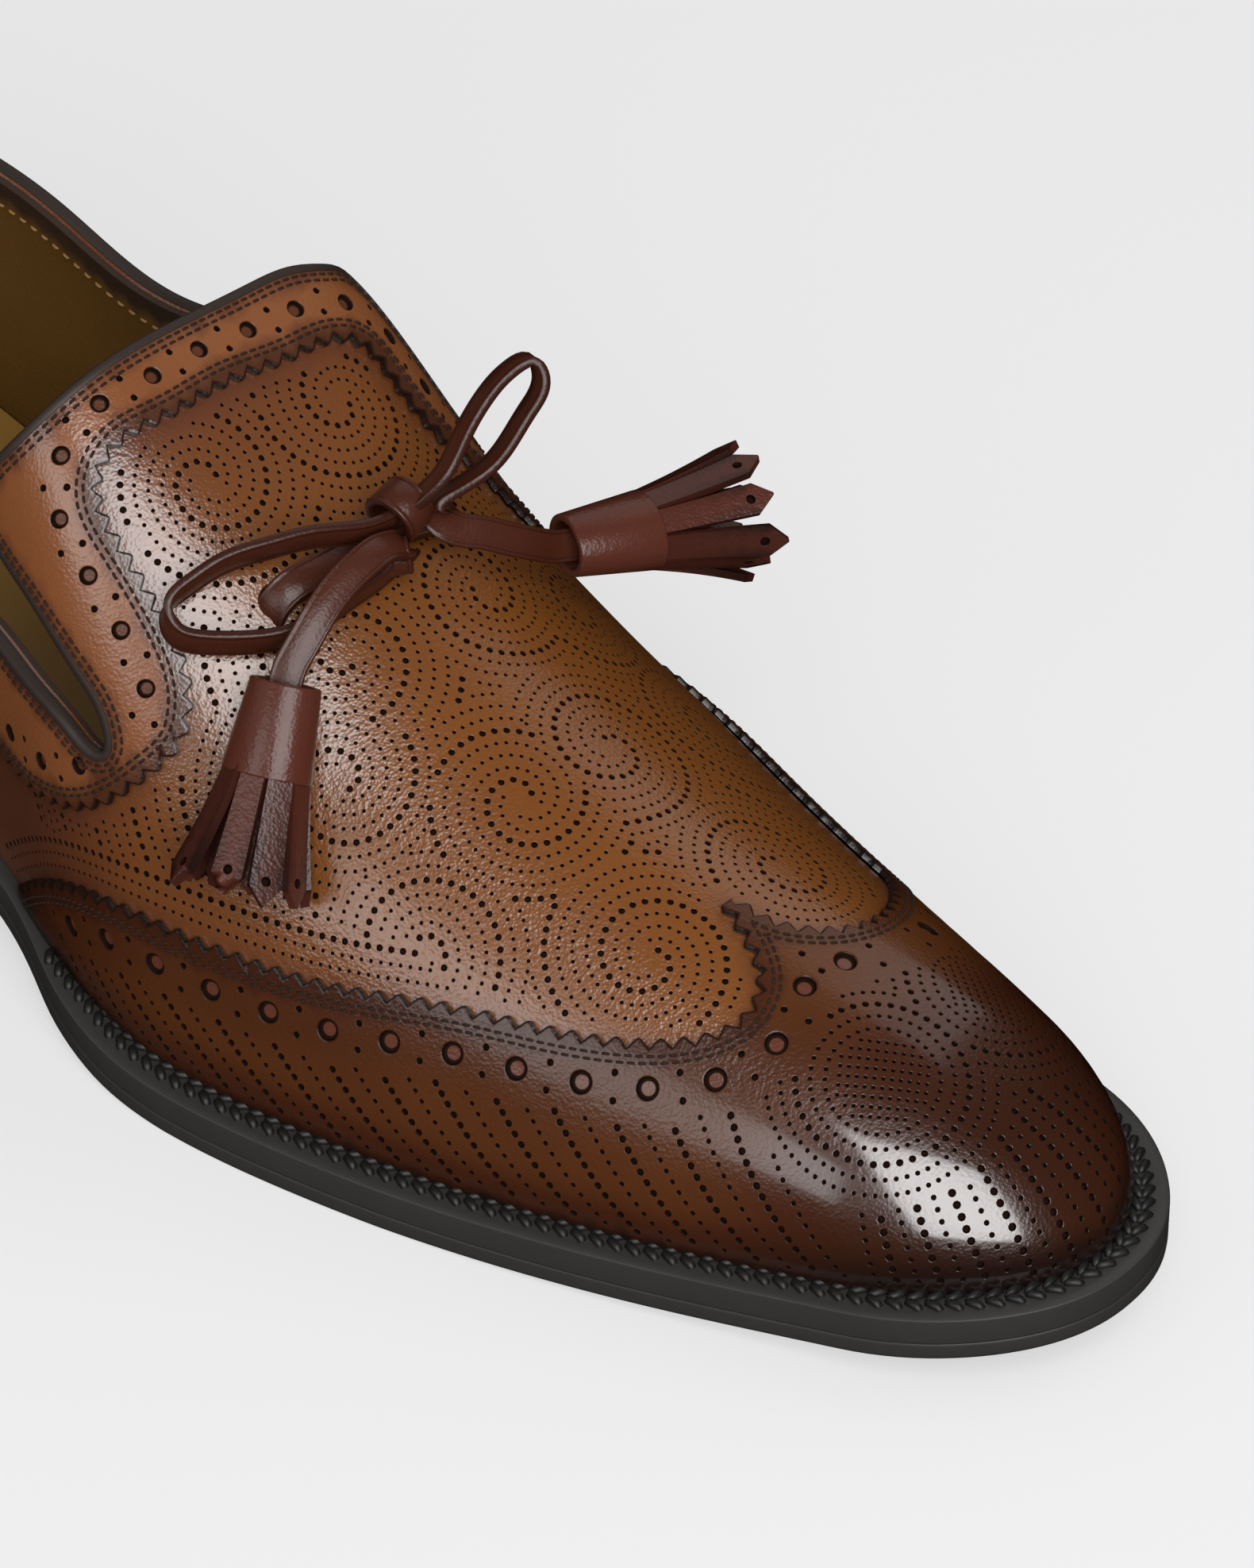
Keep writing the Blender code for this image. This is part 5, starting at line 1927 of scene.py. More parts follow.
@dataclass
class BroguedPanel(SubAssembly):
    """Panel over the upper with a pinked and stitched edge and a row of eyes along it."""

    top: float = 1.3
    bottom: float = 0.3
    droop: float = 0.25
    tooth_pitch: float = 3.05
    tooth_rise: float = 1.35
    hem: float = 0.45
    hem_spacing: float = 0.8
    eye_offset: float = 5.7
    eye_pitch: float = 9.0
    eye_radius: float = 1.5
    pair_radius: float = 0.44
    stitch_offsets: tuple[float, float] = (1.0, 1.9)
    thread: Thread = Thread(1.15, 0.2, 1.5)

    def pink(self) -> Array:
        """Teeth along the panel's edge."""
        base = offset_path(LAST, self.edge, self.tooth_rise / 2)
        return pinked(LAST, base, self.tooth_pitch, self.tooth_rise)

    def pairs(self, path: Array, offsets: Sequence[float]) -> Array:
        """Small holes halfway between the eyes.

        Args:
            path: Chart path of the eyes.
            offsets: Distances of the small holes to the left of the path.
        Returns:
            Chart places of the small holes.
        """
        halfway = spaced(LAST, path, self.eye_pitch, 0.0)[1:]
        _, left, _ = edge_frame(LAST, halfway)
        return np.concatenate([halfway + surface_steps(LAST, halfway, left * offset) for offset in offsets])

    def hem_shade(self, uv: Array) -> Array:
        """Darkness of the cut edge along the teeth."""
        return smoothstep(1.5 * self.hem, 0.0, edge_distance(uv, self.teeth))

    def stitch_paths(self) -> list[Array]:
        """Paths of the rows of stitches beside the teeth."""
        offsets = [offset + self.tooth_rise / 2 for offset in self.stitch_offsets]
        return [offset_path(LAST, self.edge, offset) for offset in offsets]


@dataclass
class Wing(BroguedPanel):
    """Wing cap over the toe: pinked edge, brogue eyes, toe swirls and side rows."""

    pair_offsets: tuple[float, float] = (3.9, 7.5)
    eye_clearance: float = 5.0
    pair_clearance: float = 3.0
    dot_clearance: float = 2.0
    dot_gap: float = 0.3
    big_dot: float = 0.38
    row_slope: float = 1.11
    row_pitch: float = 4.55
    row_start: float = 9.8
    row_dot_pitch: float = 1.6
    row_limit: tuple[float, float] = (278.0, 15.5)
    big: float = 0.48
    small: float = 0.33
    toe_reach: float = 16.0
    ray_station: float = 258.0
    ray_spread: float = 47.0
    ray_pitch: float = 4.3
    ray_radii: tuple[float, float] = (12.0, 57.0)
    ray_steps: int = 150
    row_heights: tuple[float, float, float] = (8.0, 46.0, 0.5)
    swirl_dots: tuple[float, float] = (0.42, 0.29)
    least_polish: float = 0.1
    toe_polish: Burnish = Burnish(0.9, 252.0, 280.0)
    base_shade: float = 0.30
    edge_burnish: Burnish = Burnish(0.22, 3.6, 2.2)
    border_burnish: Burnish = Burnish(0.10, 13.0, 5.0)
    # painted light: the wing gets lighter towards the medial side, behind the toe
    painted_light_medial: Burnish = Burnish(0.24, -22, 6)
    painted_light_stations: Burnish = Burnish(1.0, 272, 254)
    toe_burnish: Burnish = Burnish(0.40, 250, 288)
    low_burnish: Burnish = Burnish(0.30, 9.0, 1.0)
    feather_burnish: Burnish = Burnish(1.0, 2.4, 0.9)

    def __post_init__(self) -> None:
        """Start without pieces."""
        super().__post_init__()
        self.edge = EDGES.wing[::-1]
        self.panel = EDGES.wing_panel(EDGES.wing)

    def allowed(self, uv: Array) -> Array:
        """Where the wing may have dots: on the panel, clear of its eyes and of the feather.

        Args:
            uv: Chart places.
        Returns:
            Whether each place may have a dot.
        """
        free = inside(uv, self.panel) & self.above_feather(uv, self.dot_clearance)
        free[free] &= edge_distance(uv[free], EDGES.wing) > self.row_start
        return free

    @staticmethod
    def above_feather(uv: Array, clearance: float) -> Array:
        """Whether chart places are clear of the feather."""
        low, high = LAST.feather(uv[:, 0])
        return (uv[:, 1] > low + clearance) & (uv[:, 1] < high - clearance)

    def rows(self) -> Dots:
        """Slanting rows of dots down both sides, big and small in turn.

        Returns:
            The dots.
        """
        found = Dots()
        first = LAST.run_at(WING_TAIL_STATION)
        for side in Side:
            for number, line in enumerate(np.arange(first, self.row_end(), self.row_pitch)):
                heights = np.arange(*self.row_heights)
                runs = line - self.row_slope * heights
                use = (runs > first) & (runs < LAST.runs[-1] - 1)
                path = [(run, LAST.drop_at_height(run, height, side))
                        for run, height in zip(runs[use], heights[use])
                        if height < LAST.ridge_height(run) - 0.5]
                if len(path) > 2:
                    self.add_row(found, np.array(path), number)
        return found

    def row_end(self) -> float:
        """Chart length at which the last slanting row would meet the floor."""
        return float(LAST.run_at(self.row_limit[0])) + self.row_slope * self.row_limit[1]

    def add_row(self, found: Dots, path: Array, number: int) -> None:
        """Add a row of dots along a path, outside the toe's swirls; odd rows have big dots.

        Args:
            found: Dots to add to.
            path: Chart path of the row.
            number: Number of the row.
        """
        middles = LAST.lift(np.array([swirl.place() for swirl in TOE_SWIRLS]))
        places = spaced(LAST, path, self.row_dot_pitch)
        apart = np.linalg.norm(LAST.lift(places)[:, None] - middles[None], axis=-1).min(axis=1)
        places = places[apart > self.toe_reach + 0.6]
        if len(places):
            found.add(places[self.allowed(places)], self.big if number % 2 else self.small)

    def rays(self) -> Dots:
        """Rays of dots over the front of the toe, big and small in turn.

        Returns:
            The dots.
        """
        found = Dots()
        fan = SwirlField((Swirl(self.ray_station, 0.0),), self.allowed, reach=self.ray_radii[1] + 1)
        grid, step = fan.polar(fan.swirls[0])
        radius = np.linspace(*self.ray_radii, self.ray_steps)
        turns = np.arange(-self.ray_spread, self.ray_spread + 0.1, self.ray_pitch)
        for number, turn in enumerate(turns):
            path = fan.at(grid, step, radius, np.full(len(radius), math.radians(turn)))
            front = path[:, 0] + self.row_slope * LAST.lift(path)[:, 2] > self.row_end() + 2.0
            if front.sum() > 3:
                self.add_row(found, path[front], number)
        return found

    def shade(self, uv: Array) -> Array:
        """Burnish of the wing: dark polished toe and edges, and painted light that makes it lighter towards
        the medial side behind the toe.

        Args:
            uv: Chart places.
        Returns:
            Shade of each place, from 0 to 1.
        """
        station = LAST.station_at(uv[:, 0])
        beside = edge_distance(uv, EDGES.wing)
        value = self.base_shade + self.edge_burnish.at(beside) + self.border_burnish.at(beside)
        # painted light on the medial side of the wing
        value -= self.painted_light_medial.at(uv[:, 1]) * self.painted_light_stations.at(station)
        value += self.toe_burnish.at(station)
        low, high = LAST.feather(uv[:, 0])
        above = np.minimum(uv[:, 1] - low, high - uv[:, 1])
        value += self.low_burnish.at(above)
        value = np.maximum(value, self.feather_burnish.at(above))
        return np.clip(np.maximum(value, self.hem_shade(uv)), 0, 1)

    def build(self) -> None:
        """Cut the wing and sew its edge."""
        self.teeth = self.pink()
        outline = EDGES.wing_panel(self.teeth[::-1])
        path = offset_path(LAST, self.edge, self.eye_offset)
        eyes = spaced(LAST, path, self.eye_pitch)
        eyes = eyes[self.above_feather(eyes, self.eye_clearance)]
        pairs = self.pairs(path, [offset - self.eye_offset for offset in self.pair_offsets])
        pairs = pairs[self.above_feather(pairs, self.pair_clearance)]
        pairs = pairs[edge_distance(pairs, eyes) > self.eye_radius + 2 * self.pair_radius]
        taken = [(eyes, self.eye_radius + 0.3), (pairs, self.pair_radius + 0.1)]
        big, small = self.swirl_dots
        toe = SwirlField(TOE_SWIRLS, self.allowed, reach=self.toe_reach + 2, big=big, small=small).dots()
        toe.take(self.rows())
        toe.take(self.rays())
        places, radii = toe.thinned(taken, self.dot_gap)
        big = radii > self.big_dot
        groups = [
            Punches(eyes, np.full(len(eyes), self.eye_radius), sides=22, depth=0.7, bevel=0.25, floor=1.0),
            Punches(pairs, np.full(len(pairs), self.pair_radius), sides=10, depth=0.8, bevel=0.12),
            Punches(places[big], radii[big], sides=8, depth=0.7, bevel=0.10),
            Punches(places[~big], radii[~big], sides=7, depth=0.6, bevel=0.08),
        ]
        LOG.info("wing: %d dots", len(places))
        cutter = SheetCutter(LAST, self.top, self.bottom, spacing=2.6, droop=self.droop)
        shell = cutter.cut(outline, groups, hem=offset_path(LAST, self.teeth, self.hem, self.hem_spacing))
        shell.values["shade"] = self.shade(shell.chart)
        station = LAST.station_at(shell.chart[:, 0])
        shell.values["polish"] = self.least_polish + self.toe_polish.at(station)
        self.pieces["wing"] = shell.make("wing")
        seams = self.thread.rows(LAST, self.stitch_paths(), self.top)
        self.pieces["wing_stitches"] = seams.make("wing_stitches")

    def dress(self) -> None:
        """Dye the wing and its thread."""
        self.dress_piece("wing", WING_FINISH, "wing_leather", "wing_overlay")
        self.dress_piece("wing_stitches", THREAD_FINISH, "wing_leather")


@dataclass
class CollarBand(BroguedPanel):
    """Brogued band round the collar and over the tongue, with the rolled binding of the rim."""

    tooth_pitch: float = 3.0
    eye_offset: float = 5.6
    eye_pitch: float = 8.4
    eye_radius: float = 1.2
    eye_clearance: float = 3.2
    pair_spread: float = 1.6
    pair_clearance: float = 2.9
    hem_start: float = 0.3
    rim_stitches: tuple[float, float] = (1.6, 2.5)
    base_shade: float = 0.18
    edge_burnish: Burnish = Burnish(0.56, 3.2, 2.0)
    rim_burnish: Burnish = Burnish(0.42, 3.4, 2.0)
    rear_burnish: Burnish = Burnish(0.22, 150, 110)
    roll: tuple[tuple[float, float], ...] = (
        (-1.15, 1.25), (-1.1, 1.42), (-0.8, 1.5), (-0.2, 1.45), (0.15, 1.2), (0.3, 0.7), (0.3, 0.1),
        (0.15, -0.45), (-0.3, -0.6), (-0.9, -0.4))

    def __post_init__(self) -> None:
        """Start without pieces."""
        super().__post_init__()
        self.edge = EDGES.band

    def shade(self, uv: Array) -> Array:
        """Burnish of the band: dark at both edges, darker towards the heel.

        Args:
            uv: Chart places.
        Returns:
            Shade of each place, from 0 to 1.
        """
        value = self.base_shade + self.edge_burnish.at(edge_distance(uv, EDGES.band))
        value += self.rim_burnish.at(edge_distance(uv, EDGES.rim))
        value += self.rear_burnish.at(LAST.station_at(uv[:, 0]))
        return np.clip(np.maximum(value, self.hem_shade(uv)), 0, 1)

    def build(self) -> None:
        """Cut the band, roll its binding and sew it."""
        self.teeth = self.pink()
        self.teeth[[0, -1], 0] = 0.0
        outline = EDGES.band_panel(self.teeth)
        path = offset_path(LAST, self.edge, self.eye_offset)
        eyes = spaced(LAST, path, self.eye_pitch)
        eyes = eyes[edge_distance(eyes, EDGES.rim) > self.eye_clearance]
        pairs = self.pairs(path, (-self.pair_spread, self.pair_spread))
        pairs = pairs[edge_distance(pairs, EDGES.rim) > self.pair_clearance]
        groups = [
            Punches(eyes, np.full(len(eyes), self.eye_radius), sides=20, depth=0.7, bevel=0.18, floor=0.38),
            Punches(pairs, np.full(len(pairs), self.pair_radius), sides=10, depth=0.8, bevel=0.12),
        ]
        hem = offset_path(LAST, self.teeth, self.hem, self.hem_spacing)
        cutter = SheetCutter(LAST, self.top, self.bottom, droop=self.droop)
        shell = cutter.cut(outline, groups, seam=True, hem=hem[hem[:, 0] > self.hem_start])
        shell.values["shade"] = self.shade(shell.chart)
        self.pieces["band"] = shell.make("band")
        self.pieces["binding"] = self.binding().make("binding", 50)
        paths = [offset_path(LAST, EDGES.rim, -offset) for offset in self.rim_stitches]
        seams = self.thread.rows(LAST, [*paths, *self.stitch_paths()], self.top)
        self.pieces["band_stitches"] = seams.make("band_stitches")

    def binding(self) -> Shell:
        """Rolled binding along the whole rim.

        Returns:
            The binding.
        """
        _, left, normals = edge_frame(LAST, EDGES.rim)
        roll = np.array(self.roll)[None]
        rings = LAST.lift(EDGES.rim)[:, None] + roll[..., :1] * left[:, None]
        return sweep(rings + roll[..., 1:] * normals[:, None])

    def dress(self) -> None:
        """Dye the band, its binding and its thread."""
        self.dress_piece("band", BAND_FINISH, "band_leather", "collar_band")
        self.dress_piece("binding", BINDING_FINISH, "band_leather")
        self.dress_piece("band_stitches", THREAD_FINISH, "band_leather")


@dataclass
class Sole(SubAssembly):
    """Outsole, stitched welt, stacked heel and the sock inside."""

    outsole_profile: tuple[tuple[float, float], ...] = (
        (0.9, 0.0), (0.3, 0.08), (0.05, 0.35), (0.0, 0.8),
        (0.0, 2.3), (0.03, 2.6), (0.12, 2.72), (1.2, 2.75))
    welt_profile: tuple[tuple[float, float], ...] = (
        (1.2, 2.75), (0.12, 2.78), (0.03, 2.9), (0.0, 3.2),
        (0.0, 6.3), (0.08, 6.75), (0.35, 6.96), (1.4, 7.0))
    plate_spacing: float = 7.0
    welt_thread: Thread = Thread(3.0, 0.65, 2.6)
    stitch_turn: float = 35.0
    stitch_inset: float = 3.7
    stitch_spread: float = 0.8
    stitch_start: float = 152.0
    stitch_height: float = 7.05
    sock_inset: float = 1.7
    sock_height: float = 2.2
    heel_lifts: int = 4
    heel_gap: float = 0.1
    lift_profile: tuple[tuple[float, float], ...] = (
        (0.0, 0.35), (0.06, 0.02), (0.5, 0.0), (0.94, 0.02), (1.0, 0.35))

    @staticmethod
    def outline(first: float, last: float, inset: Curve | float, spacing: float = 2.0) -> Array:
        """Closed plan outline of a plate, as stations and sides, lateral side first.

        Args:
            first: Station of the back end.
            last: Station of the front end.
            inset: How far the sides lie inside the plan.
            spacing: Distance between points on the straight stretches.
        Returns:
            Station and side of each point.
        """
        stations = end_clustered(first, last, (SOLE.heel_round, SOLE.toe_round), spacing, 26)
        share = end_rounding(stations, first, last)
        inset = inset(stations) if callable(inset) else inset
        lateral = np.stack([stations, -(lateral_half(stations) - inset) * share], axis=-1)
        medial = np.stack([stations, (medial_half(stations) - inset) * share], axis=-1)
        return np.concatenate([lateral, medial[-2:0:-1]])

    @staticmethod
    def drawn_in(outline: Array, inset: Array | float) -> Array:
        """Outline moved inwards by an inset."""
        along = unit(np.roll(outline, -1, axis=0) - np.roll(outline, 1, axis=0))
        return outline + inset * np.stack([-along[:, 1], along[:, 0]], axis=-1)

    def plate(self, outline: Array, profile: Sequence[tuple[float, float]], base: Curve) -> Shell:
        """Plate with a shaped edge.

        Args:
            outline: Closed plan outline.
            profile: Inset and height of the edge, from the bottom up.
            base: Height of the plate's bottom by station.
        Returns:
            The plate.
        """
        rings = []
        for inset, height in profile:
            ring = self.drawn_in(outline, inset)
            rings.append(place(ring[:, 1], ring[:, 0], base(np.clip(ring[:, 0], 0, SOLE.length)) + height))
        rings = np.array(rings)
        count, sides = rings.shape[:2]
        shell = sweep(rings)
        shell.faces = shell.faces[:-2]
        points = [shell.points]
        first = len(shell.points)
        cutter = SheetCutter(LAST, 0, 0)
        for number, (inset, height) in ((0, profile[0]), (count - 1, profile[-1])):
            ring = self.drawn_in(outline, inset)
            loose = cutter.lattice(ring, ring[:0], self.plate_spacing)
            uv, faces, _ = cutter.triangulate([ring], loose)
            rest = uv[sides:]
            points.append(place(rest[:, 1], rest[:, 0], base(rest[:, 0]) + height))
            index = np.concatenate([np.arange(sides) + number * sides, np.arange(len(rest)) + first])
            faces = index[faces]
            shell.faces += (faces[:, ::-1] if number == 0 else faces).tolist()
            first += len(rest)
        return Shell(np.concatenate(points), shell.faces)

    def heel(self) -> Shell:
        """Stacked heel: lifts with fine grooves between them.

        Returns:
            The heel.
        """
        stations = end_clustered(0, SOLE.heel_length, (SOLE.heel_round, 2.0), 2.5, 22)
        share = end_rounding(stations, 0, SOLE.length)
        edges = -lateral_half(stations) * share, medial_half(stations) * share
        centre = sum(edges) / 2
        low_length = SOLE.heel_length - SOLE.heel_breast_slope - SOLE.heel_undercut
        low_stations = SOLE.heel_undercut + stations * low_length / SOLE.heel_length
        low_edges = [centre + (edge - centre) * SOLE.heel_taper for edge in edges]
        high, low = (
            np.concatenate([np.stack([at, first], -1), np.stack([at, second], -1)[:0:-1]])
            for at, (first, second) in ((stations, edges), (low_stations, low_edges)))
        tops = keel(high[:, 0]) - self.heel_gap
        rings = []
        for lift in range(self.heel_lifts):
            for share, inset in self.lift_profile:
                t = (lift + share) / self.heel_lifts
                ring = self.drawn_in(low + (high - low) * t, inset)
                rings.append(place(ring[:, 1], ring[:, 0], tops * t))
        shell = sweep(np.array(rings))
        shell.faces = [face[::-1] for face in shell.faces]
        return shell

    def build(self) -> None:
        """Make the plates, the heel and the welt's stitches."""
        outline = self.outline(0, SOLE.length, 0.0)
        for name, profile in (("outsole_edge", self.outsole_profile), ("welt_edge", self.welt_profile)):
            self.pieces[name] = self.plate(outline, profile, keel).make(name, 40)
        self.pieces["heel_stack"] = self.heel().make("heel_stack", 35)
        inset = SOLE.heel_reveal + self.sock_inset
        front = SOLE.feather_end - self.sock_inset
        sock = self.outline(inset, front, lambda station: welt_reveal(station) + self.sock_inset)
        profile = ((0.3, 0.0), (0.0, 0.4), (0.0, self.sock_height - 0.5), (0.5, self.sock_height))
        self.pieces["sock"] = self.plate(sock, profile, feather_height).make("sock", 40)
        self.pieces["welt_stitches"] = self.seam().make("welt_stitches")

    def seam(self) -> Shell:
        """Braided seam along the top of the welt: two rows of stitches that meet in a herringbone.

        Returns:
            All stitches as one shell.
        """
        outline = self.outline(0, SOLE.length, 0.0, 1.0)
        inset = np.minimum(self.stitch_inset, welt_reveal(outline[:, 0]) - 1.5)[:, None]
        row = self.drawn_in(outline, inset)
        row = row[row[:, 0] > self.stitch_start]
        points = place(row[:, 1], row[:, 0], keel(row[:, 0]) + self.stitch_height)
        length = path_length(points)
        spots = np.arange(1.0, length[-1] - 1.0, self.welt_thread.pitch)
        centres = resample(points, spots)
        tangents = unit(resample(points, spots + 0.5) - resample(points, spots - 0.5))
        across = unit(np.cross(tangents, (0, 0, 1)))
        normals = np.cross(across, tangents)
        turn = math.radians(self.stitch_turn)
        rows = []
        for way in (-1, 1):
            turned = math.cos(turn) * tangents + way * math.sin(turn) * across
            middles = centres + self.stitch_spread * way * across
            rows.append(self.welt_thread.shell(middles, turned, normals))
        return reduce(Shell.joined, rows)

    def dress(self) -> None:
        """Blacken the sole and colour the sock."""
        self.dress_piece("outsole_edge", SOLE_FINISH, "sole_leather", "outsole")
        self.dress_piece("welt_edge", SOLE_FINISH, "welt_leather", "welt")
        self.dress_piece("heel_stack", SOLE_FINISH, "heel_leather", "heel_block")
        self.dress_piece("sock", LINING_FINISH, "insole_leather", "insole")
        self.dress_piece("welt_stitches", WELT_THREAD_FINISH, "welt_leather")


LACE_BAR = table(RoutePoint, (
    (-18.2, 173.6, 62.6), (-17.4, 173.9, 65.4), (-15.2, 174.6, 67.6), (-10.6, 175.6, 68.2),
    (-3.8, 176.6, 68.3), (4.0, 177.5, 67.8), (9.4, 178.4, 66.8), (13.2, 178.6, 65.6), (15.2, 178.7, 63.0),
    (15.9, 178.8, 60.4),
))
LOOP_LATERAL = table(RoutePoint, (
    (-3.8, 179.0, 73.0), (-10.4, 175.7, 74.3), (-16.4, 172.6, 74.4), (-21.9, 169.7, 73.8),
    (-26.6, 167.8, 72.0), (-30.2, 167.0, 69.4), (-31.0, 169.0, 67.2), (-28.9, 172.4, 66.1),
    (-25.1, 176.0, 65.6), (-21.2, 178.9, 65.5), (-15.2, 181.0, 66.2), (-8.6, 182.2, 67.4),
    (-4.4, 182.6, 68.0),
))
LOOP_MEDIAL = table(RoutePoint, (
    (6.6, 183.2, 78.6), (11.0, 182.8, 82.1), (16.1, 182.7, 85.9), (20.1, 183.5, 88.2), (22.7, 185.0, 88.8),
    (22.6, 186.6, 87.0), (19.4, 187.0, 83.4), (15.5, 186.6, 79.8), (11.4, 185.4, 76.8),
))
END_LATERAL = table(RoutePoint, (
    (-4.9, 183.0, 72.8), (-8.5, 183.1, 73.2), (-14.1, 183.0, 72.0), (-19.2, 183.4, 69.6),
    (-22.4, 183.6, 67.3), (-25.0, 183.7, 65.0), (-27.0, 184.4, 62.2),
))
END_MEDIAL = table(RoutePoint, (
    (6.2, 185.4, 70.6), (9.0, 187.2, 69.2), (12.2, 189.0, 67.2), (16.6, 190.3, 64.2), (20.4, 190.6, 61.6),
    (24.0, 192.0, 60.7),
))
TASSELS = {
    Side.LATERAL: (RoutePoint(-26.0, 184.0, 63.6), RoutePoint(-41.8, 189.6, 41.4), (-0.75, -0.2, 0.62)),
    Side.MEDIAL: (RoutePoint(22.0, 191.2, 61.0), RoutePoint(50.4, 202.9, 56.7), (0.0, 0.0, 1.0)),
}


def route_points(route: Sequence[RoutePoint]) -> Array:
    """World points in millimetres of a route."""
    return np.array([place(point.side, point.station, point.height) for point in route])


@dataclass
class Bow(SubAssembly):
    """Lace across the vamp and the bow: two loops with their ends, and the knot that holds them."""

    width: float = 4.6
    thickness: float = 1.25
    spacing: float = 0.6
    groove: float = 0.37
    profile: tuple[tuple[float, float], ...] = (
        (0.5, 0.0), (0.495, 0.34), (0.465, 0.48), (0.41, 0.5), (0.37, 0.4), (0.33, 0.47), (0.0, 0.5))
    bar_across: tuple[float, float, float] = (0.0, 0.89, 0.46)
    wraps: tuple = (
        (RoutePoint(2.1, 179.6, 73.2), (-0.98, 0.0, -0.2), (3.3, 3.0), 5.2),
        (RoutePoint(-2.2, 182.0, 69.0), (-0.74, 0.68, -0.15), (1.9, 1.9), 4.6),
    )

    def __post_init__(self) -> None:
        """Start without pieces."""
        super().__post_init__()
        self.paths: dict[str, Array] = {}

    def ring(self) -> Array:
        """Cross-section of the lace: width and thickness of each point.

        Returns:
            Points of the cross-section.
        """
        quarter = np.array(self.profile)
        top = np.concatenate([quarter, quarter[-2::-1] * (-1, 1)])
        whole = np.concatenate([top, top[-2:0:-1] * (1, -1)])
        return whole * (self.width, self.thickness)

    def ribbon(self, path: Array, across: Array) -> Shell:
        """Flat lace along a path.

        Args:
            path: Points of the centre line.
            across: Direction near which the lace's width lies, at each point.
        Returns:
            The lace.
        """
        tangents = unit(np.gradient(path, axis=0))
        wide = unit(across - np.einsum("ni,ni->n", across, tangents)[:, None] * tangents)
        thick = np.cross(tangents, wide)
        ring = self.ring()
        rings = path[:, None] + ring[None, :, :1] * wide[:, None] + ring[None, :, 1:] * thick[:, None]
        shell = sweep(rings)
        shade = 0.38 + 0.3 * smoothstep(0.44, 0.5, np.abs(ring[:, 0]) / self.width)
        shade += np.where(np.isclose(np.abs(ring[:, 0]), self.groove * self.width), 0.35, 0.0)
        shell.values = {"shade": np.tile(shade, len(path)), "hole": np.zeros(len(shell.points)),
                        "floor": np.zeros(len(shell.points))}
        return shell

    def blended(self, path: Array, switch: Array, first: Sequence, second: Sequence) -> Array:
        """Directions that turn from a first to a second one where the path passes a place.

        Args:
            path: Points of the lace.
            switch: Place of the turn.
            first: Direction before the turn.
            second: Direction after the turn.
        Returns:
            One unit direction for each point.
        """
        nearest_index = int(np.argmin(np.linalg.norm(path - switch, axis=1)))
        share = smoothstep(-8, 8, np.arange(len(path)) - nearest_index)[:, None]
        return unit(np.asarray(first) * (1 - share) + np.asarray(second) * share)

    def build(self) -> None:
        """Lay the laces and wrap the knot."""
        path = smooth_path(route_points(LACE_BAR), self.spacing)
        across = np.tile(self.bar_across, (len(path), 1))
        self.pieces["lace_bar_strip"] = self.ribbon(path, across).make("lace_bar_strip", 60)
        turns = (
            ("lace_lateral", RoutePoint(0.8, 180.0, 72.8), LOOP_LATERAL,
             RoutePoint(-1.4, 183.0, 70.4), END_LATERAL, (-0.1, -0.35, 0.93), (-0.21, 0.81, 0.43)),
            ("lace_medial", RoutePoint(2.8, 180.8, 74.4), LOOP_MEDIAL,
             RoutePoint(4.6, 183.6, 73.4), END_MEDIAL, (-0.44, -0.81, 0.39), (0.57, 0.31, 0.76)),
        )
        for name, root, loop, through, end, loop_across, end_across in turns:
            path = smooth_path(route_points((root, *loop, through, *end)), self.spacing)
            across = self.blended(path, route_points((through,))[0], loop_across, end_across)
            self.pieces[name] = self.ribbon(path, across).make(name, 60)
            self.paths[name] = path
        knot = reduce(Shell.joined, [self.wrap(*row) for row in self.wraps])
        self.pieces["knot"] = knot.make("knot", 60)

    def wrap(self, centre: RoutePoint, axis: Sequence[float], radii: tuple[float, float],
             width: float) -> Shell:
        """Strap wound once round an axis, its two ends lapped.

        Args:
            centre: Middle of the wrap.
            axis: Direction that the wrap goes round.
            radii: Radius of the strap's middle to the side and upwards.
            width: Width of the strap along the axis.
        Returns:
            The strap.
        """
        axis = unit(np.asarray(axis, float))
        side = unit(np.cross((0.0, 0.0, 1.0), axis))
        up = np.cross(axis, side)
        turns = np.linspace(-0.65 * np.pi, 1.55 * np.pi, 64)
        grow = 1 + 0.12 * np.linspace(0, 1, len(turns))
        path = route_points((centre,))[0] + (radii[0] * grow * np.cos(turns))[:, None] * side
        path = path + (radii[1] * grow * np.sin(turns))[:, None] * up
        kept = self.width
        self.width = width
        strap = self.ribbon(path, np.tile(axis, (len(path), 1)))
        self.width = kept
        return strap

    @staticmethod
    def set_values(piece: bpy.types.Object, shade: float) -> None:
        """Give a piece one shade all over.

        Args:
            piece: The piece.
            shade: Its shade, from 0 to 1.
        """
        count = len(piece.data.vertices)
        for key, value in (("shade", shade), ("hole", 0.0), ("floor", 0.0)):
            attribute = piece.data.attributes.new(key, "FLOAT", "POINT")
            attribute.data.foreach_set("value", np.full(count, value, np.float32))

    def dress(self) -> None:
        """Dye the laces."""
        for name, *nodes in (("lace_bar_strip", "lace_bar"),
                             ("lace_lateral", "bow_loop_lateral", "lace_end_lateral"),
                             ("lace_medial", "bow_loop_medial", "lace_end_medial"), ("knot", "bow_knot")):
            self.dress_piece(name, LACE_FINISH, "lace_leather", *nodes)

    def declare(self, tassels: dict[str, list[bpy.types.Object]]) -> None:
        """Args:
            tassels: Pieces of the tassel on each lace; not used.
        """


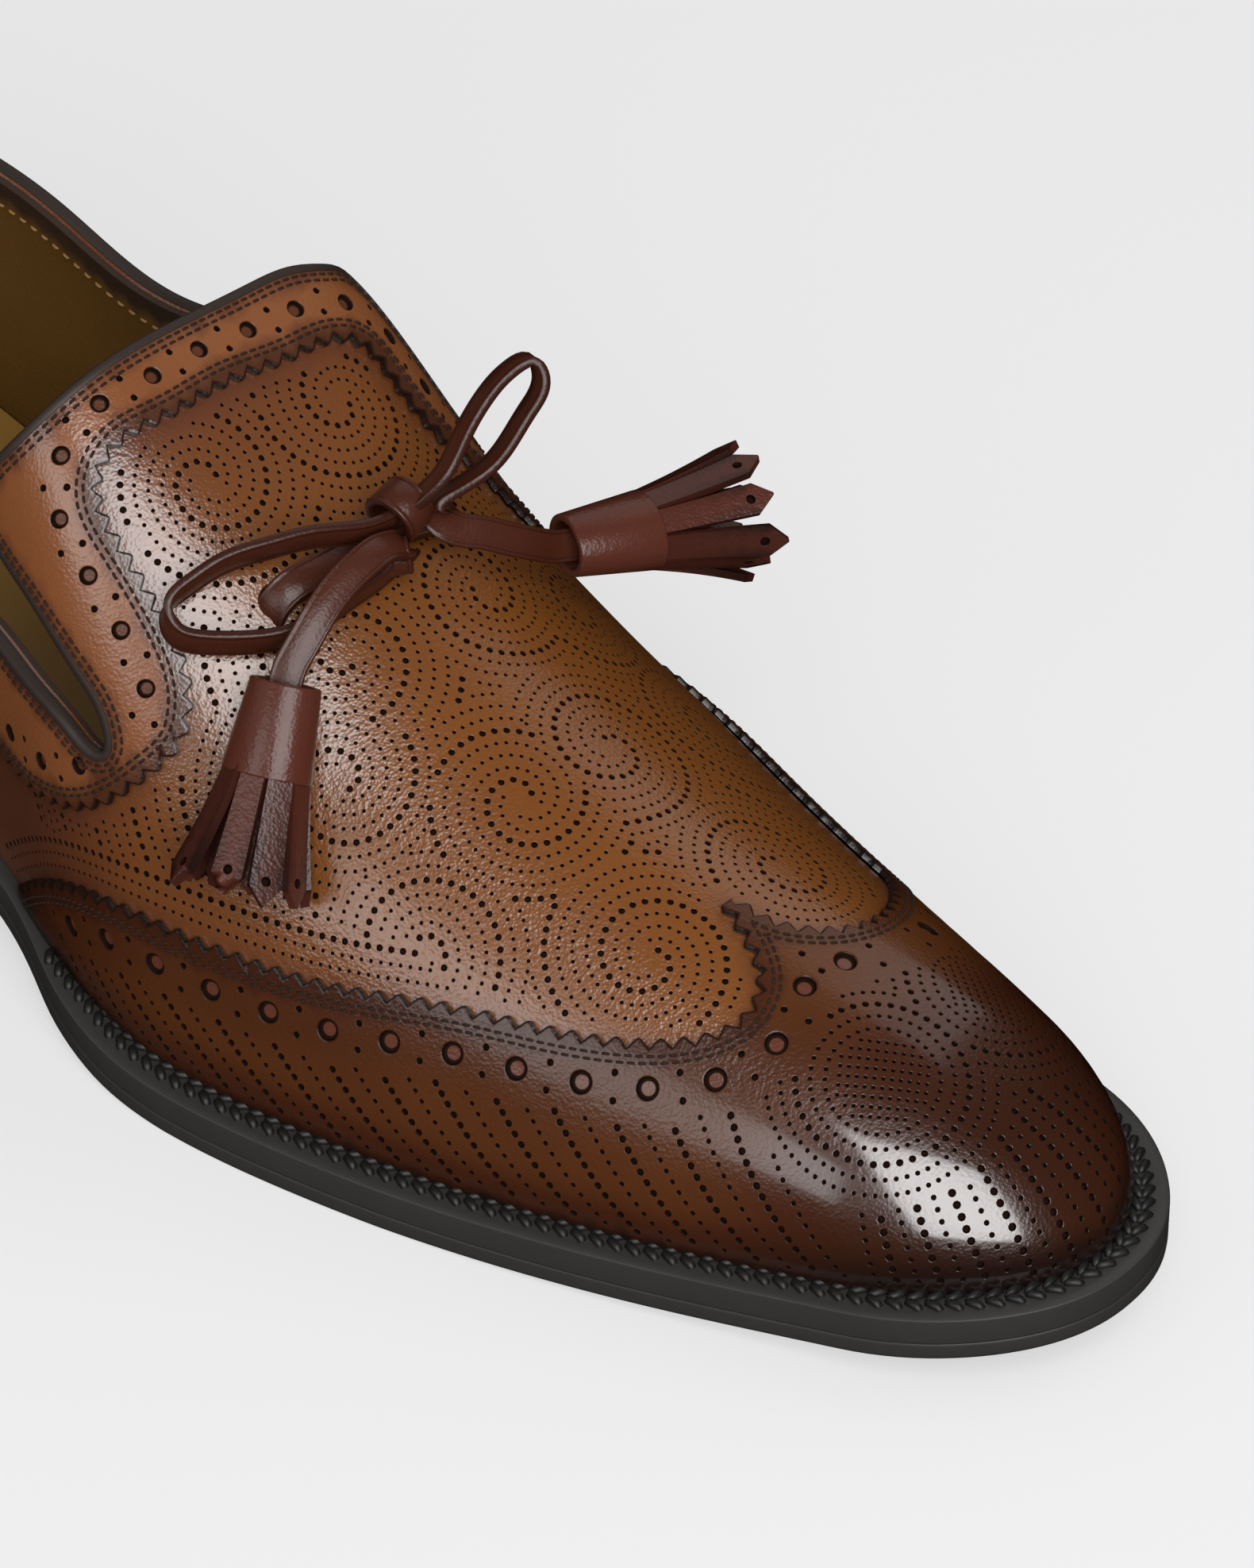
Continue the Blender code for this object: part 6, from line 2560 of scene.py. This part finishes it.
@dataclass
class StripChart:
    """Chart of a bent fringe strip: distance from its root, and across it."""

    origin: Array
    along: Array
    across: Array
    out: Array
    lean: float
    curl: float
    cup: float = 0.012

    def bend(self, u: Array) -> Array:
        """Angle that the strip leans out at distances from its root."""
        return self.lean + self.curl * u

    def normal(self, uv: Array) -> Array:
        """Outward unit normals at chart places.

        Args:
            uv: Chart places.
        Returns:
            One normal for each place.
        """
        angle = self.bend(uv[:, 0])[:, None]
        flat = np.cos(angle) * self.out - np.sin(angle) * self.along
        return unit(flat + (2 * self.cup * uv[:, 1])[:, None] * self.across)

    def lift(self, uv: Array, level: Array | float = 0.0) -> Array:
        """Points at chart places, at a level off the strip.

        Args:
            uv: Chart places.
            level: Level off the strip.
        Returns:
            One point for each place.
        """
        angle = self.bend(uv[:, 0])
        forward = (np.sin(angle) - math.sin(self.lean)) / self.curl
        outward = (math.cos(self.lean) - np.cos(angle)) / self.curl
        level = np.broadcast_to(np.asarray(level, float), len(uv)) - self.cup * uv[:, 1] ** 2
        base = self.origin + forward[:, None] * self.along + outward[:, None] * self.out
        flat = np.cos(angle)[:, None] * self.out - np.sin(angle)[:, None] * self.along
        return base + uv[:, 1:] * self.across + level[:, None] * flat

    def stretch(self, uv: Array) -> Array:
        """Change of the point along both chart axes, as matrices of three rows and two columns.

        Args:
            uv: Chart places.
        Returns:
            One matrix for each place.
        """
        step = 0.05
        slopes = [(self.lift(uv + axis) - self.lift(uv - axis)) / (2 * step) for axis in np.eye(2) * step]
        return np.stack(slopes, axis=-1)


@dataclass
class Tassel(SubAssembly):
    """Tassel on a lace end: a hollow leather cap and a fringe of pointed strips."""

    side: Side = Side.LATERAL
    cap_length: float = 12.5
    cap_top: float = 4.9
    cap_end: float = 6.3
    flatness: float = 0.82
    wall: float = 1.1
    layers: tuple[tuple[int, float, float, float], ...] = ((9, 0.78, 0.16, 0.0), (5, 0.4, 0.06, -1.0))
    strip_length: float = 19.0
    blunt: float = 0.15
    strip_shade: float = 0.40
    edge_burnish: Burnish = Burnish(0.4, 0.75, 1.0)
    ragged_shade: float = 0.14
    root_width: float = 3.2
    tip_width: float = 4.4
    point: float = 2.6
    strip_thickness: float = 1.1
    hole_radius: float = 0.65
    hole_from_tip: float = 3.3
    sink: float = 2.5

    def __post_init__(self) -> None:
        """Work out the tassel's own axes."""
        super().__post_init__()
        start, goal, up = TASSELS[self.side]
        self.start, end = route_points((start, goal))
        self.axis = unit(end - self.start)
        self.across = unit(np.cross(self.axis, up))
        self.top = np.cross(self.across, self.axis)
        self.name = f"tassel_{self.side.name.lower()}"

    def cap(self) -> bpy.types.Object:
        """Hollow flattened cone, open at both ends.

        Returns:
            The cap.
        """
        bpy.ops.mesh.primitive_cone_add(vertices=44, radius1=self.cap_top * MM, radius2=self.cap_end * MM,
                                        depth=self.cap_length * MM, location=(0, 0, 0))
        cap = bpy.context.object
        bpy.ops.object.mode_set(mode="EDIT")
        bpy.ops.mesh.select_mode(type="FACE")
        for sign, depth in ((-1, 3.0), (1, 4.5)):
            bpy.ops.mesh.select_all(action="DESELECT")
            builder = bmesh.from_edit_mesh(cap.data)
            for face in builder.faces:
                face.select = face.normal.z * sign > 0.9 and len(face.verts) > 4
            bmesh.update_edit_mesh(cap.data)
            bpy.ops.mesh.inset(thickness=self.wall * MM)
            bpy.ops.mesh.extrude_region_move(TRANSFORM_OT_translate={"value": (0, 0, -sign * depth * MM)})
        bpy.ops.mesh.select_mode(type="EDGE")
        bpy.ops.mesh.select_all(action="DESELECT")
        builder = bmesh.from_edit_mesh(cap.data)
        for edge in builder.edges:
            edge.select = edge.is_manifold and edge.calc_face_angle() > math.radians(50)
        bmesh.update_edit_mesh(cap.data)
        bpy.ops.mesh.bevel(offset=0.28 * MM, segments=3, profile=0.5, affect="EDGES")
        bpy.ops.object.mode_set(mode="OBJECT")
        frame = Matrix.Identity(4)
        for k, vector in enumerate((self.across, self.top * self.flatness, self.axis)):
            for row in range(3):
                frame[row][k] = vector[row]
        middle = (self.start + self.axis * self.cap_length / 2) * MM
        cap.data.transform(Matrix.Translation(Vector(middle)) @ frame)
        if frame.determinant() < 0:
            cap.data.flip_normals()
        cap.data.shade_smooth()
        cap.data.set_sharp_from_angle(angle=math.radians(40))
        cap.name = f"{self.name}_cap"
        cap.data.name = cap.name
        Bow.set_values(cap, 0.22)
        return cap

    def fringe(self) -> Shell:
        """All strips of the fringe as one shell.

        Returns:
            The fringe.
        """
        strips = []
        for layer, (count, share, lean, extra) in enumerate(self.layers):
            for k in range(count):
                turn = 2 * np.pi * (k + 0.5 * layer + 0.25) / count
                ragged = math.sin(2.7 * k + 1.3 * layer + self.side.value)
                chart = self.strip_chart(turn, share, lean + 0.05 * ragged, 0.006 + 0.004 * ragged)
                length = self.strip_length + extra + 0.5 * ragged
                half_root, half_tip = self.root_width / 2, self.tip_width / 2
                half_middle = 0.5 * (half_root + half_tip)
                shape = np.array(((0, half_root), (length * 0.5, half_middle),
                                  (length - self.point, half_tip), (length, self.blunt)))
                outline = np.concatenate([shape * (1, -1), shape[::-1]])
                hole = Punches(np.array([(length - self.hole_from_tip, 0.0)]), np.array([self.hole_radius]),
                               10, self.strip_thickness * 0.9, 0.1)
                cutter = SheetCutter(chart, self.strip_thickness / 2, -self.strip_thickness / 2, 1.5, 1.5)
                shell = cutter.cut(self.refined(outline), [hole])
                edge = np.abs(shell.chart[:, 1]) / half_tip
                shade = self.strip_shade + self.edge_burnish.at(edge) + self.ragged_shade * ragged
                shell.values["shade"] = np.clip(shade, 0, 1)
                strips.append(shell)
        return reduce(Shell.joined, strips)

    @staticmethod
    def refined(outline: Array, spacing: float = 1.3) -> Array:
        """Outline with points no further apart than a spacing.

        Args:
            outline: Closed outline.
            spacing: Largest distance between points.
        Returns:
            The finer outline.
        """
        points = []
        for a, b in zip(outline, np.roll(outline, -1, axis=0)):
            count = max(1, int(np.ceil(np.linalg.norm(b - a) / spacing)))
            points += [a + (b - a) * i / count for i in range(count)]
        return np.array(points)

    def strip_chart(self, turn: float, share: float, lean: float, curl: float) -> StripChart:
        """Chart of a strip at a turn round the cap.

        Args:
            turn: Turn round the cap.
            share: Distance from the cap's axis as a share of its end radius.
            lean: How far the strip leans out at its root.
            curl: How fast it bends further out.
        Returns:
            The chart.
        """
        ring = np.array((math.cos(turn), math.sin(turn)))
        root = self.cap_end * share * (ring[0] * self.across + ring[1] * self.flatness * self.top)
        out = unit(ring[0] * self.flatness * self.across + ring[1] * self.top)
        origin = self.start + self.axis * (self.cap_length - self.sink) + root
        return StripChart(origin, self.axis, np.cross(out, self.axis), out, lean, curl)

    def build(self) -> None:
        """Make cap and fringe."""
        self.pieces[f"{self.name}_cap"] = self.cap()
        self.pieces[f"{self.name}_fringe"] = self.fringe().make(f"{self.name}_fringe")

    def dress(self) -> None:
        """Dye cap and fringe."""
        self.dress_piece(f"{self.name}_cap", TASSEL_FINISH, "tassel_leather", self.name)
        self.dress_piece(f"{self.name}_fringe", TASSEL_FINISH, "tassel_leather")


@dataclass(frozen=True)
class Softbox:
    """A soft lamp: where it hangs, its size in metres and how bright its face is."""

    name: str
    azimuth: float
    elevation: float
    distance: float
    width: float
    height: float
    brightness: float
    gloss: bool = True


@dataclass
class Studio:
    """Floor, lights and camera."""

    azimuth: float = -50.0
    elevation: float = 40.0
    distance: float = 1.1
    target: tuple[float, float, float] = (0.01724, -0.05275, 0.030)
    lens: float = 186.47
    ambient: float = 0.55
    softboxes: tuple[Softbox, ...] = (
        Softbox("key", -38.0, 41.0, 1.2, 0.84, 1.1, 10.5),
        Softbox("left", -97.0, 30.0, 1.2, 0.6, 0.5, 4.5),
        Softbox("right", 60.0, 40.0, 1.3, 0.9, 0.9, 2.4, False),
        Softbox("back_right", 118.0, 44.0, 1.5, 1.2, 1.1, 0.9),
        Softbox("back_left", -140.0, 38.0, 1.5, 1.0, 1.0, 0.6),
    )

    def aim(self, thing: bpy.types.Object, target: Sequence[float]) -> None:
        """Turn a camera or a lamp towards a place."""
        way = Vector(target) - thing.location
        thing.rotation_euler = way.to_track_quat("-Z", "Y").to_euler()

    def toward(self, azimuth: float, elevation: float) -> Vector:
        """Unit direction from the shoe to an azimuth and elevation in degrees."""
        a, e = math.radians(azimuth), math.radians(elevation)
        return Vector((math.sin(a) * math.cos(e), -math.cos(a) * math.cos(e), math.sin(e)))

    def softbox(self, box: Softbox) -> None:
        """Hang a soft lamp, aimed at the shoe.

        Args:
            box: The lamp's place, size and power.
        """
        data = bpy.data.lights.new(box.name, "AREA")
        data.shape = "RECTANGLE"
        data.size = box.width
        data.size_y = box.height
        data.energy = box.brightness * box.width * box.height * math.pi
        thing = bpy.data.objects.new(box.name, data)
        thing.visible_glossy = box.gloss
        centre = Vector((0.0, -0.06, 0.04))
        thing.location = centre + self.toward(box.azimuth, box.elevation) * box.distance
        bpy.context.scene.collection.objects.link(thing)
        self.aim(thing, centre)

    def build(self) -> None:
        """Set up floor, light and camera."""
        bpy.ops.mesh.primitive_plane_add(size=6.0, location=(0, 0, 0))
        floor = bpy.context.object
        floor.name = "studio_floor"
        floor.data.materials.append(FLOOR_FINISH.material())
        floor.visible_glossy = False
        world = bpy.data.worlds.new("studio")
        world.use_nodes = True
        world.node_tree.nodes["Background"].inputs["Color"].default_value = (1, 1, 1, 1)
        world.node_tree.nodes["Background"].inputs["Strength"].default_value = self.ambient
        world.cycles_visibility.glossy = False
        bpy.context.scene.world = world
        for box in self.softboxes:
            self.softbox(box)
        camera = bpy.data.objects.new("camera", bpy.data.cameras.new("camera"))
        camera.data.lens = self.lens
        camera.location = Vector(self.target) + self.toward(self.azimuth, self.elevation) * self.distance
        bpy.context.scene.collection.objects.link(camera)
        self.aim(camera, self.target)
        bpy.context.scene.camera = camera
        bpy.context.scene.view_settings.view_transform = "Standard"


def main() -> None:
    """Build and dress every sub-assembly over the frame."""
    logging.basicConfig(level=logging.INFO, format="%(message)s")
    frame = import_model()
    LOG.info("frame: %s", type(frame).__name__)
    bpy.ops.object.select_all(action="DESELECT")
    bow = Bow()
    tassels = {"lace_lateral": Tassel(side=Side.LATERAL), "lace_medial": Tassel(side=Side.MEDIAL)}
    for assembly in (Sole(), UpperLeather(), Wing(), CollarBand(), bow, *tassels.values()):
        assembly.build()
        assembly.dress()
    bow.declare({name: list(tassel.pieces.values()) for name, tassel in tassels.items()})
    Studio().build()


if __name__ == "__main__":
    main()
